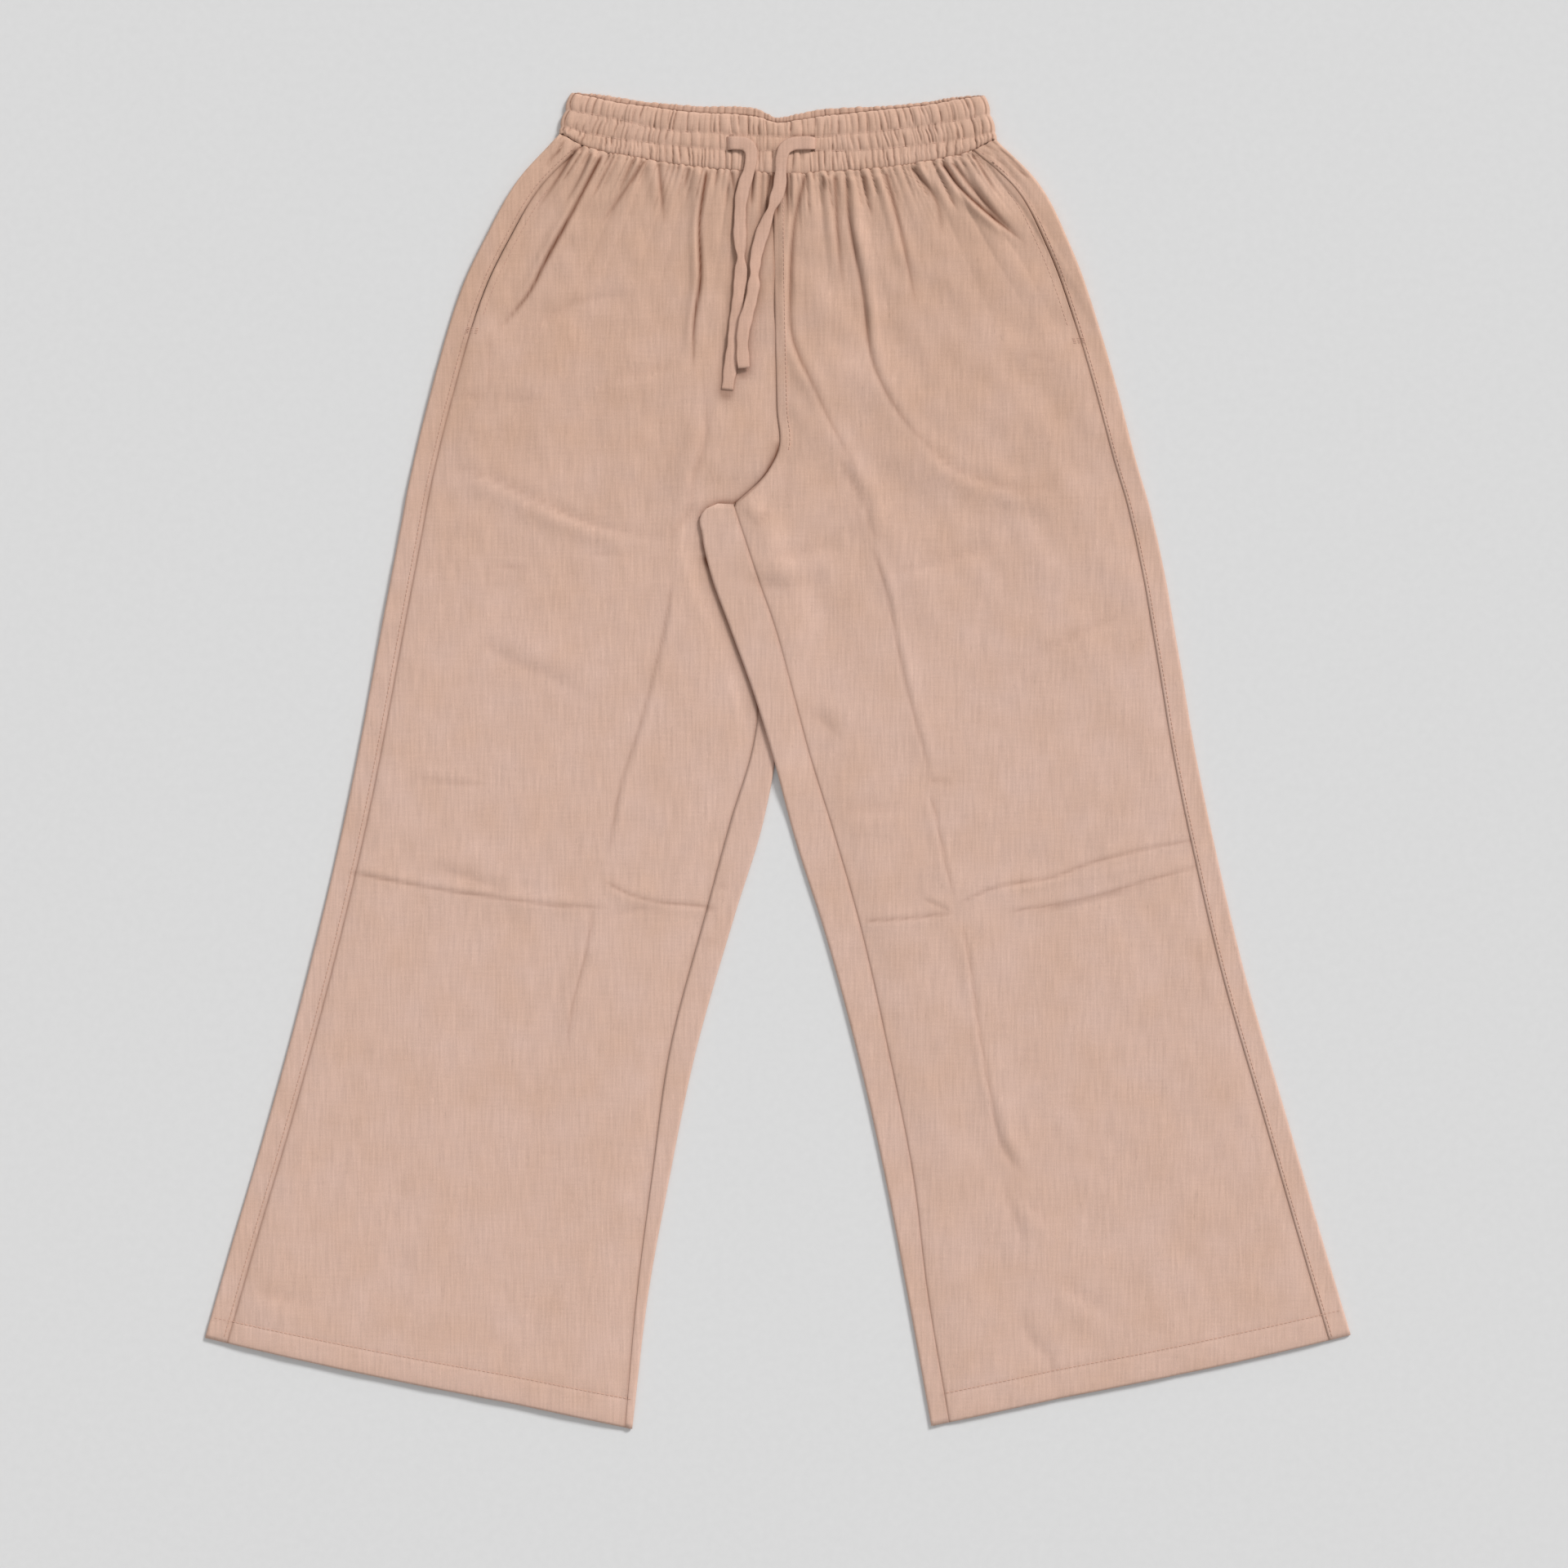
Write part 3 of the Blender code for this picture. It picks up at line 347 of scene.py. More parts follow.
# The drawstring's free ends: x, drop and height of the middle of the cord
RIGHT_CORD = (
    (-38.4, 39.1, 5.5), (-36.1, 39.1, 7.3), (-29.5, 39.1, 7.4), (-24.2, 40.1, 7.5),
    (-20.8, 43.9, 7.6), (-20.1, 50.0, 7.6), (-21.6, 59.0, 7.5), (-25.2, 70.0, 7.4),
    (-27.9, 82.0, 7.2), (-28.7, 97.0, 7.0), (-28.7, 111.0, 6.8), (-28.0, 125.0, 6.6),
    (-28.6, 145.0, 6.3), (-30.4, 159.0, 6.1), (-31.8, 173.0, 5.9), (-33.6, 188.0, 5.8),
    (-35.4, 203.0, 5.7), (-38.3, 225.7, 5.6),
)
LEFT_CORD = (
    (28.4, 39.1, 5.5), (26.1, 39.1, 7.3), (17.5, 39.1, 7.4), (10.5, 39.9, 7.5),
    (5.4, 43.2, 7.6), (3.0, 49.5, 7.7), (2.2, 60.0, 7.6), (0.8, 74.0, 7.4),
    (-2.8, 84.0, 7.3), (-7.8, 96.0, 7.1), (-12.4, 109.0, 6.9), (-16.4, 124.0, 6.7),
    (-17.6, 136.0, 7.2), (-18.6, 149.0, 8.2), (-21.0, 161.0, 8.5), (-24.2, 172.0, 8.4),
    (-26.6, 184.0, 8.2), (-26.8, 197.0, 8.0), (-25.8, 209.6, 7.9),
)
RIGHT_TWISTS = (125.0,)
LEFT_TWISTS = (90.0, 138.0)

# The edge of the lap at the crotch, along pixels of the photo
LAP_EDGE = (
    (953, 548), (951, 556), (943, 570), (936, 584), (925, 597), (908, 612),
    (897, 617), (880, 617), (870, 621), (862, 628), (859, 636), (861, 646),
    (863, 658), (861, 668), (864, 678), (868, 690),
)

# Contact shades: share of the crease shade, and the mm in which it falls off
LAP_SHADOW = (0.7, 2.4)
LAP_OWN_SHADE = (0.4, 0.9)
LAP_REACH = 12.0
CORD_CONTACT = (0.42, 2.6)
CORD_AREA = ((-60.0, 36.0), (60.0, 240.0))


@dataclass(frozen=True)
class FoldShape:
    """Depth and half width of a fold, how much cloth piles up beside it, how far in from
    each end it fades, as a share of its length, and how dark the painted shade at its
    bottom is."""

    depth: float
    width: float
    shoulder: float
    fade_in: float
    fade_out: float
    dark: float


class Fold(Enum):
    """The kinds of crease that lie in the linen. A negative depth is a ridge."""

    SLIT = FoldShape(3.0, 1.6, 0.9, 0.04, 0.4, 1.0)
    GATHER = FoldShape(2.3, 2.1, 1.0, 0.02, 0.75, 0.66)
    SHORT_GATHER = FoldShape(1.8, 1.6, 0.8, 0.02, 0.7, 0.62)
    STRONG = FoldShape(1.4, 3.2, 1.1, 0.3, 0.4, 0.15)
    SOFT = FoldShape(0.85, 4.8, 1.1, 0.4, 0.45, 0.07)
    THIN = FoldShape(0.6, 1.6, 0.6, 0.3, 0.3, 0.14)
    KNEE = FoldShape(0.5, 1.7, 0.8, 0.12, 0.2, 0.3)
    RIDGE = FoldShape(-0.7, 6.0, 0.2, 0.35, 0.35, 0.0)
    PRESS = FoldShape(0.6, 1.7, 1.2, 0.12, 0.2, 0.26)


@dataclass(frozen=True)
class Crease:
    """A crease along pixels of the photo."""

    kind: Fold
    pixels: tuple[tuple[float, float], ...]


LEFT_GATHER_CREASES = (
    Crease(Fold.SHORT_GATHER, ((963, 212), (964, 247), (965, 282))),
    Crease(Fold.GATHER, (
        (987, 212), (975, 262), (968, 346), (971, 416), (995, 471), (1026, 534), (1057, 589),
    )),
    Crease(Fold.SHORT_GATHER, ((1007, 216), (1009, 238))),
    Crease(Fold.GATHER, ((1022, 216), (1026, 291), (1033, 360))),
    Crease(Fold.GATHER, ((1036, 216), (1040, 270), (1057, 360), (1071, 450), (1106, 513), (1161, 568))),
    Crease(Fold.STRONG, ((1120, 528), (1161, 568), (1210, 589), (1251, 600), (1307, 589))),
    Crease(Fold.SHORT_GATHER, ((1057, 215), (1061, 249))),
    Crease(Fold.GATHER, ((1084, 212), (1106, 298), (1116, 346), (1123, 388))),
    Crease(Fold.GATHER, ((1116, 206), (1147, 249), (1154, 291))),
    Crease(Fold.SLIT, ((1152, 200), (1176, 232), (1210, 263), (1255, 298))),
    Crease(Fold.GATHER, ((1165, 200), (1206, 250), (1259, 303))),
    Crease(Fold.SHORT_GATHER, ((1192, 192), (1220, 240))),
)
LEFT_BODY_CREASES = (
    Crease(Fold.STRONG, ((1022, 554), (1043, 589), (1061, 624), (1068, 652), (1088, 658))),
    Crease(Fold.SOFT, ((1040, 589), (1054, 658))),
    Crease(Fold.SOFT, ((960, 568), (970, 624))),
    Crease(Fold.STRONG, ((943, 624), (925, 645))),
    Crease(Fold.STRONG, ((894, 638), (870, 665))),
    Crease(Fold.SOFT, ((918, 679), (974, 679), (1029, 658))),
    Crease(Fold.SOFT, ((884, 704), (953, 717), (1009, 707))),
    Crease(Fold.SOFT, ((1068, 700), (1133, 693), (1189, 676), (1244, 665))),
    Crease(Fold.SOFT, ((988, 866), (1036, 908))),
    Crease(Fold.SOFT, ((1224, 825), (1307, 783), (1411, 735))),
    Crease(Fold.THIN, ((1244, 430), (1293, 443))),
    Crease(Fold.SOFT, ((1020, 995), (1121, 986))),
    Crease(Fold.PRESS, ((1067, 665), (1088, 735), (1106, 825), (1126, 900), (1141, 957))),
    Crease(Fold.PRESS, ((1141, 974), (1155, 1043), (1167, 1095))),
    Crease(Fold.THIN, ((1134, 956), (1169, 957))),
    Crease(Fold.PRESS, ((1178, 1129), (1187, 1175), (1198, 1255), (1210, 1324), (1224, 1405))),
    Crease(Fold.STRONG, ((1212, 1340), (1228, 1405), (1258, 1439))),
    Crease(Fold.SOFT, ((1241, 1456), (1281, 1496), (1287, 1508))),
    Crease(Fold.SOFT, ((1232, 1427), (1235, 1468), (1250, 1508), (1253, 1548), (1261, 1571))),
    Crease(Fold.SOFT, ((1287, 1559), (1321, 1585), (1373, 1611))),
    Crease(Fold.SOFT, ((1255, 1577), (1258, 1634), (1281, 1657), (1293, 1708))),
    Crease(Fold.KNEE, ((1055, 1128), (1138, 1121), (1167, 1117))),
    Crease(Fold.THIN, ((1126, 1098), (1167, 1117))),
    Crease(Fold.KNEE, (
        (1172, 1106), (1218, 1086), (1293, 1072), (1321, 1061), (1407, 1038), (1476, 1026),
    )),
    Crease(Fold.RIDGE, ((1200, 1104), (1255, 1088), (1350, 1070), (1440, 1046))),
    Crease(Fold.KNEE, ((1230, 1116), (1298, 1106), (1350, 1094), (1407, 1077), (1476, 1057))),
    Crease(Fold.THIN, ((1023, 1164), (1052, 1158))),
    Crease(Fold.SOFT, ((1462, 1152), (1468, 1198), (1473, 1238))),
    Crease(Fold.THIN, ((1459, 1539), (1499, 1534))),
)
RIGHT_GATHER_CREASES = (
    Crease(Fold.GATHER, ((707, 182), (680, 225), (655, 263))),
    Crease(Fold.SLIT, ((738, 190), (700, 263), (669, 319), (648, 360), (610, 405))),
    Crease(Fold.SHORT_GATHER, ((725, 188), (708, 225), (691, 253))),
    Crease(Fold.GATHER, ((790, 198), (765, 235), (735, 277))),
    Crease(Fold.SHORT_GATHER, ((776, 196), (757, 240))),
    Crease(Fold.GATHER, ((807, 200), (814, 277))),
    Crease(Fold.SHORT_GATHER, ((844, 206), (837, 235))),
    Crease(Fold.SLIT, ((866, 208), (857, 269), (857, 350), (851, 388), (849, 457))),
    Crease(Fold.SOFT, ((863, 249), (873, 340))),
    Crease(Fold.SHORT_GATHER, ((896, 212), (900, 241))),
    Crease(Fold.SHORT_GATHER, ((944, 216), (939, 244))),
)
RIGHT_BODY_CREASES = (
    Crease(Fold.STRONG, ((544, 565), (620, 593), (669, 617), (717, 638), (773, 652), (821, 658))),
    Crease(Fold.SOFT, ((579, 769), (613, 801), (669, 825), (731, 856))),
    Crease(Fold.SOFT, ((627, 423), (690, 378), (787, 357))),
    Crease(Fold.SOFT, ((596, 485), (683, 492))),
    Crease(Fold.SOFT, ((710, 478), (773, 457), (842, 447))),
    Crease(Fold.THIN, ((596, 690), (655, 699))),
    Crease(Fold.THIN, ((717, 676), (780, 683))),
    Crease(Fold.THIN, ((504, 953), (595, 960))),
    Crease(Fold.THIN, ((599, 407), (599, 486))),
    Crease(Fold.THIN, ((558, 485), (598, 485))),
    Crease(Fold.STRONG, ((863, 457), (863, 541), (849, 589), (846, 624), (825, 652), (818, 693))),
    Crease(Fold.PRESS, ((825, 707), (814, 769), (801, 825), (780, 901), (762, 955), (745, 1049))),
    Crease(Fold.PRESS, ((727, 1112), (716, 1175), (702, 1227), (694, 1290))),
    Crease(Fold.KNEE, ((420, 1066), (498, 1081), (561, 1092), (607, 1098), (680, 1108), (750, 1110))),
    Crease(Fold.RIDGE, ((584, 1089), (670, 1112), (727, 1112))),
    Crease(Fold.SOFT, ((521, 1058), (584, 1078), (641, 1098))),
    Crease(Fold.KNEE, ((739, 1078), (773, 1095), (808, 1104), (859, 1109), (899, 1121))),
    Crease(Fold.SOFT, ((736, 1126), (773, 1115), (819, 1109))),
    Crease(Fold.THIN, ((874, 1081), (902, 1089))),
    Crease(Fold.THIN, ((853, 1149), (885, 1155))),
    Crease(Fold.SOFT, ((297, 1577), (400, 1597))),
)


class Finish(Enum):
    """Cloth finishes: the names of their materials."""

    PANEL = "linen_slub_plain_weave"
    BAND = "linen_gathered_waistband"
    CORD = "linen_flat_drawstring"
    THREAD = "polyester_sewing_thread"
    FLOOR = "studio_floor_matt"


@dataclass(frozen=True)
class LinenFinish:
    """Two sRGB tints of a linen, the colour of the shade painted in its creases and other
    hollows, the size of its mottling, its weave's relief, and how much painted warm shade
    of the layered folds tans it towards the waist."""

    pink: str
    tan: str
    shade: str
    mottle: float
    relief: float
    warm: float


# Third colour: the painted shade in creases; last number: painted warm shade at the waist
PANEL_LINEN = LinenFinish("D6B6A8", "CFAA94", "68371E", 0.038, 0.10, 0.62)
BAND_LINEN = LinenFinish("D5B09C", "CBA48C", "62341E", 0.030, 0.12, 0.0)
CORD_LINEN = LinenFinish("D4AE9B", "C9A28C", "68371E", 0.020, 0.10, 0.0)
# Object y, in metres, over which the painted warm shade grows towards the waist
WARM_Y = (0.06, 0.46)


def linear(code: str) -> tuple[float, float, float, float]:
    """Turns an sRGB hex code linear.

    Args:
        code: six hex digits.

    Returns:
        Linear red, green, blue and alpha.
    """
    parts = [int(code[i:i + 2], 16) / 255.0 for i in (0, 2, 4)]
    made = [c / 12.92 if c <= 0.04045 else ((c + 0.055) / 1.055) ** 2.4 for c in parts]
    return (made[0], made[1], made[2], 1.0)


def curve(keys: np.ndarray, values: np.ndarray, at: np.ndarray) -> np.ndarray:
    """Cubic through pairs of key and value.

    The slope at a key is the mean of the chords on both sides, each weighted by the
    other's length, so a straight run of keys stays straight.

    Args:
        keys: growing keys.
        values: a value for each key.
        at: where to read the curve.

    Returns:
        The values there.
    """
    keys, values, at = (np.asarray(item, float) for item in (keys, values, at))
    step = np.diff(keys)
    chord = np.diff(values) / step
    inner = (chord[:-1] * step[1:] + chord[1:] * step[:-1]) / (step[:-1] + step[1:])
    slope = np.concatenate((chord[:1], inner, chord[-1:]))
    i = np.clip(np.searchsorted(keys, at, side="right") - 1, 0, len(keys) - 2)
    s = (at - keys[i]) / step[i]
    start = values[i] * (1 + 2 * s) * (1 - s) ** 2 + slope[i] * step[i] * s * (1 - s) ** 2
    end = values[i + 1] * s * s * (3 - 2 * s) + slope[i + 1] * step[i] * s * s * (s - 1)
    return start + end


def ease(value: np.ndarray) -> np.ndarray:
    """Smooth step.

    Args:
        value: any numbers.

    Returns:
        0 below 0, 1 above 1, and 3 t squared less 2 t cubed between.
    """
    value = np.clip(value, 0.0, 1.0)
    return value * value * (3.0 - 2.0 * value)


def waist(name: str, x: np.ndarray) -> np.ndarray:
    """Drop of one line of the waistband.

    Args:
        name: a field of WaistColumn.
        x: places along the waist.

    Returns:
        The drops there.
    """
    x = np.clip(x, WAIST[0].x, WAIST[-1].x)
    return curve([row.x for row in WAIST], [getattr(row, name) for row in WAIST], x)


def valley_places(spacing: float, span: float, seed: int) -> np.ndarray:
    """Seeded places about one spacing apart.

    Args:
        spacing: mean distance of two places.
        span: length that they cover, from minus half to half.
        seed: of the places.

    Returns:
        The places in mm.
    """
    gaps = np.random.default_rng(seed).uniform(0.4, 1.6, int(span / spacing) + 2)
    return -span / 2 + np.concatenate(([0.0], np.cumsum(gaps) / gaps.sum() * span))


def ripple(along: np.ndarray, spacing: float, span: float, seed: int) -> np.ndarray:
    """Uneven gathers with round crests and sharp valleys.

    Between two valleys the height is the sine of the way across, to the power 0.6,
    times a seeded height.

    Args:
        along: places in mm.
        spacing: mean distance of two valleys.
        span: length that the gathers cover, from minus half to half.
        seed: of the places and heights.

    Returns:
        Heights from 0 to 1.
    """
    valleys = valley_places(spacing, span, seed)
    tall = np.random.default_rng(seed + 500).uniform(0.35, 1.0, len(valleys))
    i = np.clip(np.searchsorted(valleys, along, side="right") - 1, 0, len(valleys) - 2)
    t = np.clip((along - valleys[i]) / (valleys[i + 1] - valleys[i]), 0.0, 1.0)
    return tall[i] * np.sin(np.pi * t) ** 0.6


def gather_lines(along: np.ndarray, run: np.ndarray, spacing: float, span: float,
                 seed: int, width: float, both_ways: bool = False) -> np.ndarray:
    """Thin lines down in the valleys of a ripple.

    Each line has a seeded strength and a seeded end along the run, before which it
    fades. Across it, it falls off as the exponential of minus distance over width.

    Args:
        along: places across the gathers, in mm.
        run: places down the gathers, 0 where they start.
        spacing: mean distance of two valleys.
        span: length that the gathers cover.
        seed: of the ripple.
        width: of a line, in mm.
        both_ways: whether half of the lines start at the run's other end, 1.

    Returns:
        Shares from 0 to 1.
    """
    valleys = valley_places(spacing, span, seed)
    rng = np.random.default_rng(seed + 900)
    strength = rng.uniform(0.2, 1.0, len(valleys))
    limit = rng.uniform(0.3, 1.5, len(valleys))
    turned = rng.uniform(0.0, 1.0, len(valleys)) < (0.5 if both_ways else 0.0)
    after = np.clip(np.searchsorted(valleys, along), 1, len(valleys) - 1)
    i = np.where(along - valleys[after - 1] < valleys[after] - along, after - 1, after)
    down = np.where(turned[i], 1.0 - run, run)
    across = np.exp(-np.abs(along - valleys[i]) / width)
    return strength[i] * ease((limit[i] - down) / 0.4) * across


def swell(x: np.ndarray, drop: np.ndarray, seed: int, shortest: float, longest: float) -> np.ndarray:
    """Unevenness of lying cloth: the mean of seeded plane waves.

    Args:
        x: places across, in mm.
        drop: places down, in mm.
        seed: of directions, lengths and phases.
        shortest: wave in mm.
        longest: wave in mm.

    Returns:
        Heights from about -1 to 1.
    """
    rng = np.random.default_rng(seed)
    total = np.zeros(np.broadcast(x, drop).shape)
    for _ in range(9):
        angle = rng.uniform(0.0, np.pi)
        length = rng.uniform(shortest, longest)
        phase = rng.uniform(0.0, 2 * np.pi)
        total += np.sin((x * np.cos(angle) + drop * np.sin(angle)) * 2 * np.pi / length + phase)
    return total / 4.5


def reaches(line: np.ndarray) -> np.ndarray:
    """Distance along a line at each of its points.

    Args:
        line: one row a point.

    Returns:
        The distances, from 0 on.
    """
    return np.append(0.0, np.cumsum(np.linalg.norm(np.diff(line, axis=0), axis=1)))


def over_pocket(away: np.ndarray, drop: np.ndarray) -> np.ndarray:
    """Whether a place lies over the pocket bag.

    Args:
        away: distances from the outer fold.
        drop: places down.

    Returns:
        True for each place that does.
    """
    return (drop > POCKET_DROPS[0]) & (drop < POCKET_DROPS[1]) & (away < POCKET_REACH)


def line_distance(x: np.ndarray, drop: np.ndarray, line: np.ndarray) -> np.ndarray:
    """Distance of places from a line.

    Args:
        x: places across, in mm.
        drop: places down, in mm.
        line: its points, as x and drop.

    Returns:
        The least distance from any of its runs.
    """
    place = np.stack((x, drop), axis=-1)[..., None, :]
    start, run = line[:-1], np.diff(line, axis=0)
    t = np.clip(((place - start) * run).sum(axis=-1) / (run ** 2).sum(axis=1), 0.0, 1.0)
    return np.linalg.norm(place - (start + t[..., None] * run), axis=-1).min(axis=-1)


def on_cloth(pixels: tuple[tuple[float, float], ...]) -> np.ndarray:
    """Turns pixels of the photo into places on the cloth.

    Args:
        pixels: columns and rows of the photo.

    Returns:
        A row of x and drop, in mm, for each pixel.
    """
    return (np.array(pixels, float) - (PIXEL_CENTRE, PIXEL_TOP)) * PIXEL


def in_box(x: np.ndarray, drop: np.ndarray, line: np.ndarray, far: float) -> np.ndarray:
    """Which places lie in a line's box, widened all round.

    Args:
        x: places across, in mm.
        drop: places down, in mm.
        line: its points, as x and drop.
        far: the widening in mm.

    Returns:
        True for each place inside.
    """
    low, high = np.min(line, axis=0) - far, np.max(line, axis=0) + far
    return (x > low[0]) & (x < high[0]) & (drop > low[1]) & (drop < high[1])


def cord_shade(x: np.ndarray, drop: np.ndarray) -> np.ndarray:
    """Contact shade beside the drawstring, which fades within a few millimetres.

    Args:
        x: places across, in mm.
        drop: places down, in mm.

    Returns:
        Shares of crease shade.
    """
    shade = np.zeros(x.shape)
    share, width = CORD_CONTACT
    near = in_box(x, drop, CORD_AREA, 0.0)
    for route in (RIGHT_CORD, LEFT_CORD):
        line = np.array(route)[:, :2] + CORD_SHADOW
        away = line_distance(x[near], drop[near], line) - CORD_WIDTH / 2
        contact = share * np.exp(-np.maximum(away, 0.0) / width)
        shade[near] = np.maximum(shade[near], contact)
    return shade


def lap_shade(x: np.ndarray, drop: np.ndarray, side: int) -> np.ndarray:
    """Contact shade along the lap's edge: wide on the leg below, thin on the lap itself.

    Args:
        x: places across, in mm.
        drop: places down, in mm.
        side: 1 on the left leg, which laps over, -1 on the right one.

    Returns:
        Shares of crease shade.
    """
    line = on_cloth(LAP_EDGE)
    shade = np.zeros(x.shape)
    near = in_box(x, drop, line, LAP_REACH)
    share, width = LAP_OWN_SHADE if side > 0 else LAP_SHADOW
    shade[near] = share * np.exp(-line_distance(x[near], drop[near], line) / width)
    return shade


def crease_relief(x: np.ndarray, drop: np.ndarray,
                  creases: tuple[Crease, ...]) -> tuple[np.ndarray, np.ndarray]:
    """Height that creases add to cloth.

    Each crease is a smooth line. Across it the height is minus its depth times a sharp
    bell of the distance, with a wide bell of its shoulder share piled up on one side
    and a little on the other; along it the depth fades in and out and wavers. Its shade
    is a thin line that falls off within a millimetre, on a faint bell as wide as it is.

    Args:
        x: places across, in mm.
        drop: places down, in mm.
        creases: the creases.

    Returns:
        Heights in mm and shares of crease shade.
    """
    total = np.zeros(x.shape)
    shade = np.zeros(x.shape)
    for number, crease in enumerate(creases):
        shape = crease.kind.value
        line = on_cloth(crease.pixels)
        at = reaches(line)
        if len(line) > 2:
            fine = np.linspace(0.0, at[-1], 4 * len(line))
            line = np.stack([curve(at, line[:, k], fine) for k in (0, 1)], axis=1)
            at = fine
        near = in_box(x, drop, line, CREASE_REACH * shape.width)
        place = np.stack((x[near], drop[near]), axis=1)[:, None, :]
        start, run = line[:-1], np.diff(line, axis=0)
        size = (run ** 2).sum(axis=1)
        t = np.clip(((place - start) * run).sum(axis=2) / size, 0.0, 1.0)
        away = place - (start + t[..., None] * run)
        distance = np.linalg.norm(away, axis=2)
        best = distance.argmin(axis=1)[:, None]
        side = np.sign(run[:, 0] * away[..., 1] - run[:, 1] * away[..., 0])
        signed = np.take_along_axis(distance * side, best, 1)[:, 0] / shape.width
        along = np.take_along_axis(at[:-1] + t * np.diff(at), best, 1)[:, 0] / at[-1]
        lean = 1.0 if number % 2 else -1.0
        bell = np.exp(-np.abs(signed) ** BELL_POWER)
        piled = np.exp(-((signed - PILED[0] * lean) / PILED[1]) ** 2)
        back = np.exp(-((signed + PILED_BACK[0] * lean) / PILED_BACK[1]) ** 2)
        piled += PILED_BACK[2] * back
        fade = ease(along / shape.fade_in) * ease((1.0 - along) / shape.fade_out)
        waver = np.sin(along * at[-1] / WAVER_LENGTH + number)
        fade *= 1.0 - WAVER + WAVER * waver
        total[near] += shape.depth * fade * (shape.shoulder * piled - bell)
        sharp = max(CREASE_LINE, CREASE_LINE_SHARE * shape.width)
        thin = np.exp(-np.abs(signed) * shape.width / sharp)
        thin = CREASE_LINE_PART * np.minimum(1.0, CREASE_LINE_TOP * thin)
        wide = (1.0 - CREASE_LINE_PART) * np.exp(-signed ** 2)
        dark = shape.dark * np.sqrt(fade) * (thin + wide)
        shade[near] = np.maximum(shade[near], dark)
    return total, shade


